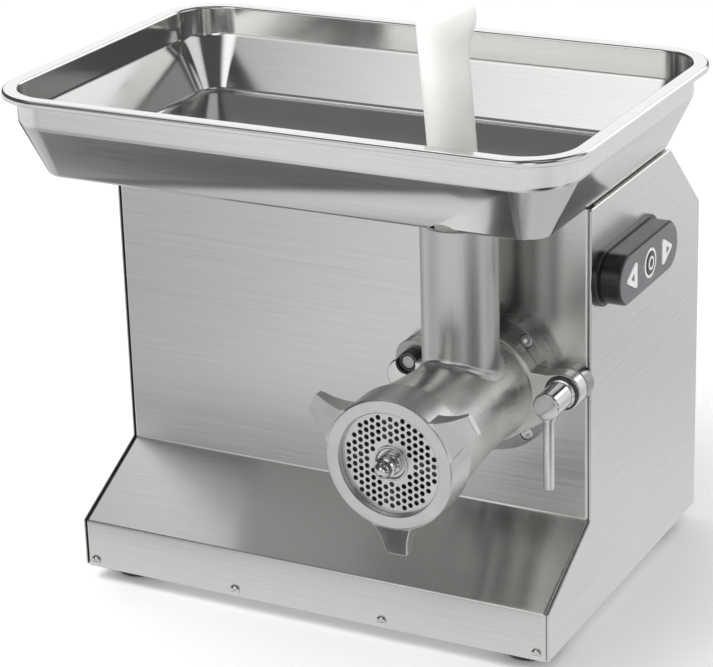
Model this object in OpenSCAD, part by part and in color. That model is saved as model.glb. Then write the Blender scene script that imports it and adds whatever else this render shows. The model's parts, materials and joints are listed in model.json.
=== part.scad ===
// Bench-top electric meat grinder with a No. 22 grinding head.
// Millimetres. +Z is up, the head faces -Y and the push buttons face +X.
// Origin: on the worktop, under the middle of the overall width and depth.
// Inside part_frame() a place is counted from the casing: x from its middle,
// y from the upright front panel, z from its bottom edge.
// Inside on_axis() z is the distance in front of that panel.

/* [Casing] */
// Width across both side panels
casing_w = 400; // [396:1:404]
// Depth from the upright front panel to the rear panel
casing_d = 223; // [222:1:228]
// Height of the flat top above the casing's bottom edge
casing_h = 323.6; // [322:0.2:326]
// How far the apron stands out in front of the upright panel
apron_d = 79; // [76:1:82]
// Height of the apron's upright front strip
apron_h = 38.7; // [36:0.1:42]
// Height at which the slope meets the upright panel
slope_h = 80; // [76:1:84]
// Depth of the flat part of the top
top_d = 158; // [150:1:165]
// Height at which the rear chamfer meets the rear panel
rear_h = 263; // [255:1:270]
// Thickness of the stainless steel sheet
sheet = 1.5; // [1.2:0.1:1.6]
// Height of the rubber feet below the casing
foot_h = 12; // [10:1:14]
// Radius of a rubber foot
foot_r = 20; // [16:1:22]

/* [Grinding head] */
// Drive axis, sideways from the casing's middle
axis_x = 123; // [122:0.5:124]
// Drive axis, height above the casing's bottom edge
axis_z = 184; // [183:0.5:185]
// Inside radius of the barrel
bore_r = 26; // [25.9:0.1:26.2]
// Radius of the hole plate
plate_r = 41; // [40.8:0.1:41.1]
// Thickness of the hole plate
plate_t = 8; // [7:0.5:8]
// Diameter of a hole in the plate
plate_hole_d = 3.6; // [3:0.1:4.2]
// Distance between neighbouring plate holes
plate_pitch = 5.4; // [5.2:0.1:6.2]
// Outside radius of the ring nut
ring_r = 48.4; // [48:0.1:49]
// Depth of the ring nut
ring_l = 32; // [30:1:34]
// Reach of the ring nut's lugs from the axis
lug_r = 71; // [68:1:73]
// Outside radius of the feed neck
neck_r = 28.1; // [27.8:0.1:28.3]
// Feed neck's distance in front of the upright panel
neck_f = 58; // [57:0.5:59]

/* [Tray] */
// Width over the rim
rim_w = 474; // [468:1:478]
// Depth over the rim
rim_d = 316; // [314:1:318]
// Height of the rim above the tray's floor
tray_h = 68.5; // [66:0.5:72]
// Width of the flat rim
rim_lip = 11; // [9:1:12]
// Run of the flared wall on each side
flare = 19; // [17:1:21]
// Height of the flared wall
flare_h = 44; // [42:1:46]
// Corner radius of the rim
rim_corner = 50; // [45:1:55]

/* [Plunger] */
// Radius of the plunger's shaft
stick_r = 17.5; // [16:0.5:18]
// Length of the plunger
stick_l = 234; // [225:1:240]
// Lean of the resting plunger, towards -X
stick_lean = 4.5; // [3.5:0.5:5]

/* [Controls] */
// Length of the switch housing
switch_l = 126; // [120:1:130]
// Height of the switch housing's base flange
switch_h = 43; // [41:1:45]
// How far the switch housing stands out from the side panel
switch_out = 20.5; // [18:0.5:24]
// Travel of a push button
press = 2.5; // [2:0.5:3]

/* [Drive] */
// Module of the first gear pair
m1 = 1.5; // [1.5:0.1:1.5]
// Teeth on the motor pinion
motor_teeth = 16; // [16:1:16]
// Teeth on the intermediate gear
mid_teeth = 48; // [48:1:48]
// Module of the second gear pair
m2 = 2; // [2:0.1:2]
// Teeth on the intermediate pinion
mid_pinion_teeth = 15; // [15:1:15]
// Teeth on the output gear
out_teeth = 60; // [60:2:60]

/* [Hidden] */
$fn = 64;

// Where the casing stands in the part's frame
casing_x = 8;
panel_y = -25;

// Fits and gaps between separate pieces
run_gap = 0.04;
clear_gap = 0.4;
fine = 0.1;
over = 1;

half_w = casing_w / 2;

// Drive axes, measured from the output axis towards -X
mid_off = m2 * (mid_pinion_teeth + out_teeth) / 2;
motor_off = mid_off + m1 * (motor_teeth + mid_teeth) / 2;
pressure = 25;
backlash = 0.16;

// Stations inside the casing, as distances behind the front panel
wall_t = 8;
box_front = sheet;
box_back = 84;
cover_t = 11;
motor_front = box_back + cover_t;
motor_back = 182;
motor_r = 60;
stator_y0 = motor_front + 14;
stator_l = 56;
stator_in = 36;
rotor_r = 35.4;

// Stations of the head, as distances in front of the panel
flange_f = 12;
flange_t = 13;
ring_f = 177.4;
ring_wall = 5;
plate_f = ring_f - ring_wall - plate_t - 0.2;
auger_f = 23.6;
auger_end = 150;
knife_f = 152.2;
spigot_r = 30;
journal_r = 14;
stud_r = 8.2;
thread_r = 44;
pin_at = [-61.5, 9];
lobe_at = [-63.5, -1];
clamp_at = [65, 7];
screw_r = 5;

neck_top = casing_h + 1;
tray_z = casing_h + clear_gap;
tray_t = 1.4;
tray_x = -casing_x;
tray_y = 42.5;

switch_y = 63;
switch_z = 266;
switch_base = 4;
face_t = 1.5;

gland_x = -130;
gland_z = 45;
gland_out = 19;
cord_r = 4;

// ---- helpers ----------------------------------------------------------

module part_frame() {
    translate([casing_x, panel_y, foot_h]) children();
}

// Turns local z to -Y, local y to +Z, and starts at x, z on the panel's face
module facing_front(x, z) {
    translate([x, 0, z]) rotate([90, 0, 0]) children();
}

module on_axis() {
    facing_front(axis_x, axis_z) children();
}

// Turns local z to +X, local x to +Y and local y to +Z
module facing_right(x, y, z) {
    translate([x, y, z]) rotate([90, 0, 90]) children();
}

// Ring between two radii, from z0 up to z1
module tube(r_out, r_in, z0, z1) {
    translate([0, 0, z0]) difference() {
        cylinder(r = r_out, h = z1 - z0);
        translate([0, 0, -over]) cylinder(r = r_in, h = z1 - z0 + 2 * over);
    }
}

module rod(r, z0, z1) {
    translate([0, 0, z0]) cylinder(r = r, h = z1 - z0);
}

// Six-sided recess
module hex_rod(r, z0, z1) {
    translate([0, 0, z0]) cylinder(r = r, h = z1 - z0, $fn = 6);
}

function unit(v) = v / norm(v);
function left_of(v) = [-v[1], v[0]];

// Point i of a path moved t to its left, with mitred corners
function moved(p, i, t) =
    let (a = i > 0 ? unit(p[i] - p[i - 1]) : unit(p[1] - p[0]),
         b = i < len(p) - 1 ? unit(p[i + 1] - p[i]) : a,
         n = unit(left_of(a) + left_of(b)))
    p[i] + n * t / (n * left_of(a));

// Closed outline of a sheet of thickness t on the left of a path
function sheet_outline(p, t) = concat(p, [for (i = [len(p) - 1:-1:0]) moved(p, i, t)]);

// Sheet bent along a path of [y, z] points, centred on x
module bent_sheet(path, t, w) {
    translate([-w / 2, 0, 0]) rotate([90, 0, 90])
        linear_extrude(w) polygon(sheet_outline(path, t));
}

// Corner points of a rectangle with round corners, n steps a corner
function rounded_rect(w, d, r, n = 8) = [
    for (c = [0:3], i = [0:n])
        let (a = 90 * c + 90 * i / n,
             sx = (c == 0 || c == 3) ? 1 : -1,
             sy = c < 2 ? 1 : -1)
        [sx * (w / 2 - r) + r * cos(a), sy * (d / 2 - r) + r * sin(a)]
];

// Flat plate with half-round ends, along local x
module stadium(l, h, t) {
    linear_extrude(t) polygon(rounded_rect(l, h, h / 2 - 0.01, 12));
}

// Round plate with an ear at each of the places given, each on a web of its own
module eared_plate(r, ear_r, t, ears) {
    web = ear_r - 2.5;
    linear_extrude(t) union() {
        circle(r = r, $fn = 96);
        for (p = ears) {
            translate(p) circle(r = ear_r);
            polygon([[0, web + 8], [p[0], p[1] + web], [p[0], p[1] - web], [0, -web - 8]]);
        }
    }
}

// Straight web between the clamp's ear and the underside of its flange
module flank(r, ear_r, t) {
    turn = atan2(clamp_at[1], clamp_at[0]) - acos((r - ear_r) / norm(clamp_at));
    way = [cos(turn), sin(turn)];
    linear_extrude(t)
        polygon([[0, 0], (r - 0.2) * way, clamp_at + (ear_r - 0.2) * way, clamp_at]);
}

// Screw head and shank, head up from z = 0 and shank down
module screw(head_r, head_h, shank_r, shank_l) {
    cylinder(r = head_r, h = head_h, $fn = 24);
    translate([0, 0, -shank_l]) cylinder(r = shank_r, h = shank_l + fine, $fn = 24);
}

function roll(a) = tan(a) * 180 / PI - a;

// Involute gear outline with the middle of a tooth at angle 0
function gear_outline(n, m, steps = 4) =
    let (rp = m * n / 2, rb = rp * cos(pressure), ra = rp + m, rf = rp - 1.25 * m,
         r0 = max(rb, rf),
         hp = 90 / n - backlash / (2 * rp) * 180 / PI + roll(pressure),
         half = [for (i = [0:steps]) let (r = r0 + (ra - r0) * i / steps)
                 [r, hp - roll(acos(min(1, rb / r)))]],
         foot = rb > rf + fine ? [[rf, half[0][1]]] : [],
         side = concat(foot, half))
    [for (k = [0:n - 1], j = [0:2 * len(side) - 1])
        let (up = j < len(side),
             p = up ? side[j] : side[2 * len(side) - 1 - j],
             a = 360 * k / n + (up ? -p[1] : p[1]))
        p[0] * [cos(a), sin(a)]];

module gear(n, m, z0, z1, turn, hole_r) {
    difference() {
        translate([0, 0, z0]) rotate([0, 0, turn])
            linear_extrude(z1 - z0) polygon(gear_outline(n, m));
        rod(hole_r, z0 - over, z1 + over);
    }
}

// ---- casing -----------------------------------------------------------

// Distance from an outer face down to a sheet lapped under it
under = sheet + fine;
side_gap = 0.8;
inner_w = casing_w - 2 * (sheet + side_gap);
fold = 12;
apron_path = [[-apron_d, 0], [-apron_d, apron_h], [0, slope_h], [0, casing_h]];
apron_path_cw = [for (i = [len(apron_path) - 1:-1:0]) apron_path[i]];
back_path = [[casing_d, 0], [casing_d, rear_h], [top_d, casing_h], [0, casing_h]];
lap_path = [for (i = [0:3]) moved(back_path, i, under)];

base_front = -apron_d + under;
base_back = casing_d - under - sheet - fine;
base_flange_h = 18;
screw_z = 5.5;
screw_pitch = 126.7;
screw_hole_r = 1.7;
apron_screw_r = 4;
rear_screw_in = 7;
rear_screw_zs = [26, 132, 244];
foot_x = 170;
foot_ys = [-46, 188];
louvre_rows = 9;
louvre_w = 72;
louvre_h = 5;
louvre_step = 15;
louvre_z = 110;
louvre_xs = [-78, 6];

// Point of the lapped sheets' rear slope, d behind the top's flat part
function slope_point(d) =
    lap_path[2] + (lap_path[1] - lap_path[2]) * (top_d + d - lap_path[2][0]) /
    (lap_path[1][0] - lap_path[2][0]);

module base_plate() color("silver") part_frame() difference() {
    union() {
        translate([-inner_w / 2, base_front, 0]) cube([inner_w, base_back - base_front, sheet]);
        for (y = [base_front, base_back - sheet])
            translate([-inner_w / 2, y, 0]) cube([inner_w, sheet, base_flange_h]);
    }
    for (i = [0:3])
        translate([(i - 1.5) * screw_pitch, -apron_d, screw_z]) rotate([-90, 0, 0])
            cylinder(r = screw_hole_r, h = 3 * sheet, $fn = 24);
    for (x = [-1, 1], y = foot_ys)
        translate([x * foot_x, y, -over]) cylinder(r = 3.1, h = 4, $fn = 24);
    for (i = [0:6], j = [0:3])
        translate([-150 + 22 * i, 40 + 34 * j, -over])
            cube([12, 22, 4]);
}

module front_panel() color("silver") part_frame() difference() {
    bent_sheet(apron_path_cw, sheet, inner_w);
    on_axis() {
        rod(hub_r + fine, -2 * sheet, sheet);
        for (a = hub_bolt_angles)
            rotate([0, 0, a]) translate([hub_bolt_r, 0, 0]) rod(3.1, -2 * sheet, sheet);
    }
    for (i = [0:3])
        translate([(i - 1.5) * screw_pitch, -apron_d - over, screw_z]) rotate([-90, 0, 0])
            cylinder(r = screw_hole_r, h = 3 * sheet, $fn = 24);
}

// Side outline as [y, z] points
side_outline = concat(apron_path, [[top_d, casing_h], [casing_d, rear_h], [casing_d, 0]]);

// One side panel, its outer face at x = 0 and its folds towards -x
module side_panel() {
    rotate([90, 0, 90]) translate([0, 0, -sheet])
        linear_extrude(sheet) polygon(side_outline);
    top_path = [[casing_d, fold], [casing_d, rear_h], [top_d, casing_h], [fold, casing_h]];
    difference() {
        translate([-fold, 0, 0]) rotate([90, 0, 90])
            linear_extrude(fold - sheet + fine / 2) polygon(sheet_outline(top_path, sheet));
        for (z = rear_screw_zs) translate([-rear_screw_in, casing_d, z]) rotate([90, 0, 0])
            cylinder(r = screw_hole_r, h = 3 * sheet, center = true, $fn = 24);
    }
}

module side_panel_left() color("silver") part_frame()
    translate([-half_w, 0, 0]) mirror([1, 0, 0]) side_panel();

module side_panel_right() color("silver") part_frame() difference() {
    translate([half_w, 0, 0]) side_panel();
    facing_right(half_w - 2 * sheet, switch_y, switch_z)
        stadium(contacts_l + 2 * clear_gap, contacts_h + 2 * clear_gap, 3 * sheet);
}

module top_cover() color("lightgray") part_frame()
    bent_sheet([slope_point(30), lap_path[2], [under, casing_h - under]], sheet, inner_w);

module rear_panel() color("silver") part_frame() difference() {
    bent_sheet([lap_path[0], lap_path[1], slope_point(32)], sheet, inner_w);
    for (i = [0:louvre_rows - 1], x = louvre_xs)
        translate([x, casing_d - 4 * sheet, louvre_z + louvre_step * i])
            cube([louvre_w, 6 * sheet, louvre_h]);
    translate([gland_x, casing_d, gland_z]) rotate([90, 0, 0])
        cylinder(r = 8.2, h = 8 * sheet, center = true);
    for (x = [-1, 1], z = rear_screw_zs)
        translate([x * (half_w - rear_screw_in), casing_d, z]) rotate([90, 0, 0])
            cylinder(r = screw_hole_r, h = 8 * sheet, center = true, $fn = 24);
}

module apron_screws() color("gainsboro") part_frame()
    for (i = [0:3])
        translate([(i - 1.5) * screw_pitch, -apron_d, screw_z]) rotate([90, 0, 0])
            intersection() {
                union() {
                    rotate_extrude($fn = 32) polygon([
                        [0, 0], [apron_screw_r, 0], [apron_screw_r - 0.1, 0.9],
                        [apron_screw_r - 0.7, 1.7], [apron_screw_r - 1.8, 2.3], [0, 2.6]]);
                    rod(1.5, -10, fine);
                }
                difference() {
                    cube(24, center = true);
                    translate([-6, -0.5, 1.6]) cube([12, 1, 3]);
                }
            }

module rear_screws() color("gainsboro") part_frame()
    for (x = [-1, 1], z = rear_screw_zs)
        translate([x * (half_w - rear_screw_in), casing_d, z]) rotate([-90, 0, 0])
            screw(3.6, 1.6, 1.5, 9);

module feet() color("#202020") part_frame()
    for (x = [-1, 1], y = foot_ys)
        translate([x * foot_x, y, 0]) rotate_extrude() polygon([
            [3, 0], [foot_r, 0], [foot_r, -2], [foot_r - 2, -foot_h + 1],
            [foot_r - 3, -foot_h], [8, -foot_h], [8, -foot_h + 5], [3, -foot_h + 5]]);

module foot_screws() color("gainsboro") part_frame()
    for (x = [-1, 1], y = foot_ys)
        translate([x * foot_x, y, -foot_h + 5]) rotate([180, 0, 0]) screw(6, 3, 2.9, 14);

// ---- hub and gearbox --------------------------------------------------

hub_r = 44;
hub_plate_r = 54;
hub_ear_r = 14.5;
head_flange_r = 43.4;
head_ear_r = 14;
hub_bolt_r = 47.8;
hub_bolt_angles = [50, 130, 230, 310];
seal_r = 24;
shaft_r = 15;
pin_r = 8;
pin_neck_r = 6;
pin_f = 21;
front_seat_r = 27.5;
mid_seat_r = 20;
mid_shaft_r = 8.5;
out_seat_r = 23.5;
out_tail_r = 12.5;
motor_seat_r = 17.5;
motor_shaft_r = 7.5;
gear_z0 = -52;
gear_z1 = -30;
mid_gear_z0 = -70;
mid_gear_z1 = -56;
socket = 14.4;
tang = 14;

module hub_flange() color("#8a8a88") part_frame() on_axis() difference() {
    union() {
        eared_plate(hub_plate_r, hub_ear_r, flange_f, [pin_at, clamp_at]);
        rod(hub_r, -sheet - wall_t, fine);
        rod(33, -28, fine);
    }
    rod(spigot_r + run_gap, -2, flange_f + over);
    rod(seal_r, -11, -1);
    rod(seal_r - 4, -14, -10);
    rod(front_seat_r, -29, -13);
    for (a = hub_bolt_angles)
        rotate([0, 0, a]) translate([hub_bolt_r, 0, 0]) {
            rod(3.1, -20, flange_f + over);
            rod(5.2, flange_f - 6, flange_f + over);
        }
    translate(clamp_at) rod(screw_r + run_gap, 3, flange_f + over);
    translate(pin_at) rod(pin_neck_r, 3, flange_f + over);
}

module hub_bolts() color("#55565a") part_frame() on_axis()
    for (a = hub_bolt_angles)
        rotate([0, 0, a]) translate([hub_bolt_r, 0, flange_f - 6]) difference() {
            screw(5, 5.6, 3, 22);
            hex_rod(2.4, 3, 7);
        }

module locating_pin() color("#4a4a4c") part_frame() on_axis()
    translate(pin_at) rotate_extrude() polygon(concat(
        [[0, 3], [pin_neck_r, 3], [pin_neck_r, flange_f], [pin_r, flange_f]],
        [for (a = [0:15:90]) [pin_r - 2 + 2 * cos(a), pin_f - 2 + 2 * sin(a)]],
        [[0, pin_f]]));

module shaft_seal() color("#303034") part_frame() on_axis()
    tube(seal_r, shaft_r + run_gap, -11, -2.2);

// Outline of the gearbox round its three shafts, shrunk by inset
module box_outline(inset) {
    radii = [68, 46, 26];
    offs = [0, mid_off, motor_off];
    for (i = [0:2]) translate([-offs[i], 0]) circle(r = radii[i] - inset, $fn = 96);
    for (i = [0:1])
        polygon([[-offs[i], radii[i] - inset - fine], [-offs[i + 1], radii[i + 1] - inset - fine],
                 [-offs[i + 1], -radii[i + 1] + inset + fine], [-offs[i], -radii[i] + inset + fine]]);
}

// Screws of the gearbox; the heads of the last pair sit in the motor's front wall
box_screw_sides = [[-2, 71], [-62, 53], [61, 36], [-118, 29]];
box_screw_at = [for (s = [-1, 1], p = box_screw_sides) [p[0], s * p[1]]];
box_screw_head_r = 4.8;

module box_screw_places() {
    for (p = box_screw_at) translate([p[0], p[1], 0]) children();
}

module gearbox_housing() color("#a9aaa8") part_frame() on_axis() difference() {
    union() {
        translate([0, 0, -box_back]) linear_extrude(box_back - box_front) union() box_outline(0);
        box_screw_places() rod(7, -box_back, -box_back + 26);
    }
    difference() {
        translate([0, 0, -box_back - over])
            linear_extrude(box_back - box_front - wall_t + over) union() box_outline(4);
        translate([-mid_off, 0, 0]) rod(24, -22, 0);
        box_screw_places() rod(5, -box_back - over, -box_back + 26);
    }
    rod(hub_r, -box_front - wall_t - over, over);
    translate([-mid_off, 0, 0]) rod(mid_seat_r, -23, -10);
    for (a = hub_bolt_angles)
        rotate([0, 0, a]) translate([hub_bolt_r, 0, 0]) rod(3, -20, 0);
    box_screw_places() rod(2.5, -box_back - over, -box_back + 20);
}

module gearbox_cover() color("#9fa09e") part_frame() on_axis() difference() {
    union() {
        translate([0, 0, -box_back - cover_t]) linear_extrude(cover_t) union() box_outline(0);
        box_screw_places() rod(7, -box_back - cover_t, -box_back);
        rod(28, -box_back - fine, -72);
        translate([-mid_off, 0, 0]) rod(24, -box_back - fine, -72.5);
    }
    rod(out_seat_r, -box_back, -72 + over);
    translate([-mid_off, 0, 0]) rod(mid_seat_r, -box_back, -72 + over);
    translate([-motor_off, 0, 0]) rod(motor_seat_r, -box_back - cover_t - over, -box_back + over);
    box_screw_places() rod(3, -box_back - cover_t - over, -box_back + over);
}

module gearbox_screws() color("#55565a") part_frame() on_axis()
    box_screw_places() translate([0, 0, -box_back - cover_t]) rotate([180, 0, 0])
        screw(box_screw_head_r, 4, 2.5, 26);

module output_bearings() color("#c9cacc") part_frame() on_axis() {
    tube(front_seat_r, shaft_r + run_gap, -27, -14);
    tube(out_seat_r, out_tail_r + run_gap, -box_back, -73);
}

module mid_bearings() color("#c9cacc") part_frame() on_axis() translate([-mid_off, 0, 0]) {
    tube(mid_seat_r, mid_shaft_r + run_gap, -22, -10.5);
    tube(mid_seat_r, mid_shaft_r + run_gap, -box_back, -73);
}

module motor_bearings() color("#c9cacc") part_frame() on_axis() translate([-motor_off, 0, 0]) {
    tube(motor_seat_r, motor_shaft_r + run_gap, -motor_front, -box_back);
    tube(motor_seat_r, motor_shaft_r + run_gap, -motor_back - 8, -motor_back + 3);
}

module output_shaft() color("#b9babc") part_frame() on_axis() difference() {
    union() {
        rod(shaft_r, gear_z1, -3);
        rod(out_tail_r, -box_back + 1, gear_z1 + fine);
    }
    translate([-socket / 2, -socket / 2, -28]) cube([socket, socket, 30]);
}

module output_gear() color("#8f9296") part_frame() on_axis() {
    gear(out_teeth, m2, gear_z0, gear_z1, 180 / out_teeth, out_tail_r);
}

module mid_shaft() color("#b9babc") part_frame() on_axis() translate([-mid_off, 0, 0]) {
    rod(mid_shaft_r, -box_back + 0.5, -11);
    gear(mid_pinion_teeth, m2, gear_z0 - 1, gear_z1 + 1, 0, mid_shaft_r - 1);
}

module mid_gear() color("#8f9296") part_frame() on_axis() translate([-mid_off, 0, 0])
    gear(mid_teeth, m1, mid_gear_z0, mid_gear_z1, 180 / mid_teeth, mid_shaft_r);

// ---- motor ------------------------------------------------------------

module motor_axis() {
    on_axis() translate([-motor_off, 0, 0]) children();
}

module motor_shaft() color("#b9babc") part_frame() motor_axis() {
    rod(motor_shaft_r, -motor_back - 26, mid_gear_z0 + fine);
    gear(motor_teeth, m1, mid_gear_z0 - 1, mid_gear_z1 + 1, 0, 3);
    rod(4, mid_gear_z0 - 1, mid_gear_z1 + 1);
}

module motor_rotor() color("#84868a") part_frame() motor_axis()
    tube(rotor_r, motor_shaft_r, -stator_y0 - stator_l, -stator_y0);

fan_r = 50;
module cooling_fan() color("#2b2c2e") part_frame() motor_axis() {
    tube(14, motor_shaft_r, -motor_back - 24, -motor_back - 11);
    tube(fan_r, 13.9, -motor_back - 13, -motor_back - 11);
    for (a = [0:40:320])
        rotate([0, 0, a]) translate([13.5, -0.9, -motor_back - 24])
            cube([fan_r - 15, 1.8, 11.5]);
}

fins = 20;
module motor_housing() color("#9a9c9e") part_frame() motor_axis() difference() {
    union() {
        rod(motor_r - 3, -motor_back, -motor_front);
        for (i = [0:fins - 1])
            rotate([0, 0, i * 360 / fins]) translate([motor_r - 4, -1, -motor_back + 4])
                cube([4, 2, motor_back - motor_front - 8]);
    }
    rod(motor_r - 7, -motor_back - over, -motor_front - 4);
    rod(motor_seat_r + 2, -motor_front - 5, -motor_front + over);
    for (s = [-1, 1]) translate([motor_off + box_screw_sides[3][0], s * box_screw_sides[3][1], 0])
        rod(box_screw_head_r + 0.5, -motor_front - 5, -motor_front + over);
}

module motor_stator() color("#b5651d") part_frame() motor_axis() {
    tube(motor_r - 7, stator_in, -stator_y0 - stator_l, -stator_y0);
    tube(motor_r - 12, stator_in + 3, -stator_y0 - stator_l - 9, -stator_y0 - stator_l);
    tube(motor_r - 12, stator_in + 3, -stator_y0, -stator_y0 + 8);
}

module motor_end_shield() color("#9a9c9e") part_frame() motor_axis() difference() {
    union() {
        rod(motor_r - 3, -motor_back - 5, -motor_back);
        rod(22, -motor_back - 8, -motor_back + 3);
    }
    rod(motor_seat_r, -motor_back - 9, -motor_back + 4);
    for (a = [0:60:300])
        rotate([0, 0, a]) translate([38, 0, 0]) rod(8, -motor_back - 9, -motor_back + 4);
}

cowl_back = 213;
module fan_cowl() color("#3a3b3d") part_frame() motor_axis() difference() {
    rod(motor_r, -cowl_back, -motor_back - 1);
    rod(motor_r - 1.5, -cowl_back + 1.5, -motor_back);
    for (r = [20, 31, 42], i = [0:5])
        rotate([0, 0, i * 60 + r]) translate([r, 0, 0]) rod(4.4, -cowl_back - over, -cowl_back + 3);
}

module motor_cradle() color("#8a8a88") part_frame() difference() {
    union() {
        translate([axis_x - motor_off - 58, motor_front + 16, sheet])
            cube([116, 44, 4]);
        for (y = [motor_front + 16, motor_front + 56])
            translate([axis_x - motor_off - 46, y, sheet]) cube([92, 4, axis_z - 30]);
    }
    motor_axis() rod(motor_r - 3, -motor_back, -motor_front + 5);
    motor_axis() for (i = [0:fins - 1])
        rotate([0, 0, i * 360 / fins]) translate([motor_r - 5, -1.3, -motor_back])
            cube([5.4, 2.6, motor_back - motor_front]);
}

// ---- electrics --------------------------------------------------------

module run_capacitor() color("#d8d8d4") part_frame() translate([-150, 60, sheet]) {
    cylinder(r = 21, h = 78);
    translate([0, 0, 77.5]) cylinder(r = 9, h = 8);
}

module contactor() color("#e4e2da") part_frame() translate([-172, 118, sheet]) {
    cube([48, 60, 72]);
    translate([4, 6, 71.5]) cube([40, 48, 10]);
}

module terminal_block() color("#ddd9c8") part_frame() translate([-112, 120, sheet]) difference() {
    cube([30, 64, 24]);
    for (i = [0:4])
        translate([15, 8 + 12 * i, 14]) cylinder(r = 3.4, h = 12, $fn = 24);
}

module cable_gland() color("#1d1d1f") part_frame()
    translate([gland_x, casing_d - under, gland_z]) rotate([-90, 0, 0]) difference() {
        union() {
            rod(8, -16, 1);
            translate([0, 0, -8]) cylinder(r = 13, h = 5, $fn = 6);
            cylinder(r = 13, h = 6, $fn = 6);
            rod(10.5, 5.9, 15);
            rod(8.5, 14.9, gland_out);
        }
        rod(cord_r, -17, gland_out + over);
    }

// Insulated lead between two points
module lead(from, to, r) {
    v = to - from;
    translate(from) rotate([0, acos(v[2] / norm(v)), atan2(v[1], v[0])])
        cylinder(r = r, h = norm(v), $fn = 16);
}

module wiring() color("#7a4a2a") part_frame() {
    lead([gland_x + 2, 200, gland_z], [-97, 180, 30], cord_r - 1);
    lead([-122, 140, 60], [-97, 150, 30], 2);
    lead([-130, 160, 86], [-64, 150, 190], 2);
    lead([-140, 130, 86], [-140, 130, 296], 3);
    lead([-140, 130, 290], [-140, 130, 306], 5);
    lead([-140, 130, 299], [186, 70, 286], 3);
}

// ---- controls ---------------------------------------------------------

contacts_l = 96;
contacts_h = 32;
contacts_in = 24;
contacts_t = 31;
wall_in = 2.5;
button_at = [-35, 0, 32];
button_proud = 1;
button_foot = -6;
arrow_tip = 12;
arrow_base = 8;
arrow_half = 10.5;
stop_r = 8.6;
flange_grow = 1.4;
flange_h = 1.4;
stem_r = 3.5;
stem_foot = -14;

// A triangle with blunt corners, pointing towards local -x and grown by g
module arrow_plate(g, t) {
    linear_extrude(t) polygon([
        [-arrow_tip - g, 1], [arrow_base - 2.5 + g, arrow_half + g], [arrow_base + g, arrow_half - 1.5 + g],
        [arrow_base + g, 1.5 - arrow_half - g], [arrow_base - 2.5 + g, -arrow_half - g],
        [-arrow_tip - g, -1]]);
}

module button_holes(z0, z1) {
    for (s = [0, 1])
        translate([button_at[s * 2], 0, z0]) rotate([0, 0, 180 * s])
            arrow_plate(clear_gap, z1 - z0);
    translate([button_at[1], 0, 0]) rod(stop_r + clear_gap, z0, z1);
}

module switch_housing() color("#161617") part_frame() facing_right(half_w, switch_y, switch_z)
    difference() {
        union() {
            stadium(switch_l, switch_h, switch_base);
            translate([0, 0, switch_base - fine])
                stadium(switch_l - 10, switch_h - 4, switch_out - face_t - switch_base + fine);
        }
        translate([0, 0, -over])
            stadium(contacts_l + 2, contacts_h, switch_out - face_t - wall_in + over);
        button_holes(0, switch_out);
    }

module switch_face() color("#6f7174") part_frame()
    facing_right(half_w + switch_out - face_t, switch_y, switch_z)
        difference() {
            stadium(switch_l - 13, switch_h - 7, face_t);
            button_holes(-over, face_t + over);
        }

module switch_contacts() color("#c8b070") part_frame()
    facing_right(half_w - contacts_in, switch_y, switch_z) difference() {
        stadium(contacts_l, contacts_h - 2, contacts_t);
        for (x = button_at) translate([x, 0, contacts_t]) rod(stem_r + 0.5, -press - 3.5, over);
    }

module arrow_button(turn) {
    rotate([0, 0, turn]) {
        translate([0, 0, button_foot]) arrow_plate(0, button_proud - button_foot);
        translate([0, 0, button_foot]) arrow_plate(flange_grow, flange_h);
    }
    rod(stem_r, stem_foot, button_foot + fine);
}

module start_button() color("white") part_frame()
    facing_right(half_w + switch_out, switch_y, switch_z)
        translate([button_at[0], 0, 0]) arrow_button(0);

module stop_button() color("#202020") part_frame()
    facing_right(half_w + switch_out, switch_y, switch_z) translate([button_at[1], 0, 0]) {
        rod(stop_r, button_foot, button_proud);
        rod(stop_r + flange_grow, button_foot, button_foot + flange_h);
        rod(stem_r, stem_foot, button_foot + fine);
    }

module reverse_button() color("white") part_frame()
    facing_right(half_w + switch_out, switch_y, switch_z)
        translate([button_at[2], 0, 0]) arrow_button(180);

// ---- grinding head ----------------------------------------------------

// Outer profile of the barrel: [distance in front of the panel, radius]
barrel_line = [[flange_f, 43.5], [22, 43.5], [26, 40.5], [40, 39.8], [60, 39.6], [80, 40.2],
               [100, 41.6], [120, 43.6], [134, 45.2], [143, 46], [143, thread_r], [170, thread_r]];

module barrel_body() {
    rotate_extrude($fn = 96) polygon(concat(
        [[0, flange_f]], [for (p = barrel_line) [p[1], p[0]]], [[0, 170]]));
}

module head_barrel() color("#b4b4b2") part_frame() difference() {
    on_axis() difference() {
        union() {
            barrel_body();
            translate([0, 0, flange_f]) {
                eared_plate(head_flange_r, head_ear_r, flange_t, [lobe_at, clamp_at]);
                flank(head_flange_r, head_ear_r, flange_t);
            }
            rod(spigot_r, -1.4, flange_f + fine);
        }
        rod(bore_r, 20, 171);
        rod(plate_r + 0.15, 150, 171);
        rod(journal_r + run_gap, -2.4, 21);
        translate(clamp_at) rod(screw_r + run_gap, 0, 40);
        translate(pin_at) rod(pin_r + 0.3, 0, 40);
        translate([0, -plate_r, 0]) rod(key_r, 150, 171);
    }
    translate([axis_x, -neck_f, axis_z]) cylinder(r = bore_r, h = 60);
}

module feed_neck() color("#bdbdbb") part_frame() difference() {
    translate([axis_x, -neck_f, axis_z + 12]) tube(neck_r, bore_r, 0, neck_top - axis_z - 12);
    on_axis() barrel_body();
}

key_r = 2.4;
module plate_key() color("gainsboro") part_frame() on_axis()
    translate([0, -plate_r, 0]) rod(key_r, 152, plate_f + plate_t - 1);

module auger_washer() color("#b08d57") part_frame() on_axis()
    tube(bore_r - 0.3, journal_r + run_gap, 20, 23);

flight_r = 25.4;
core_r = 11;
flight_turns = 2.6;
collar_r = 24.6;
collar_t = 5;

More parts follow.
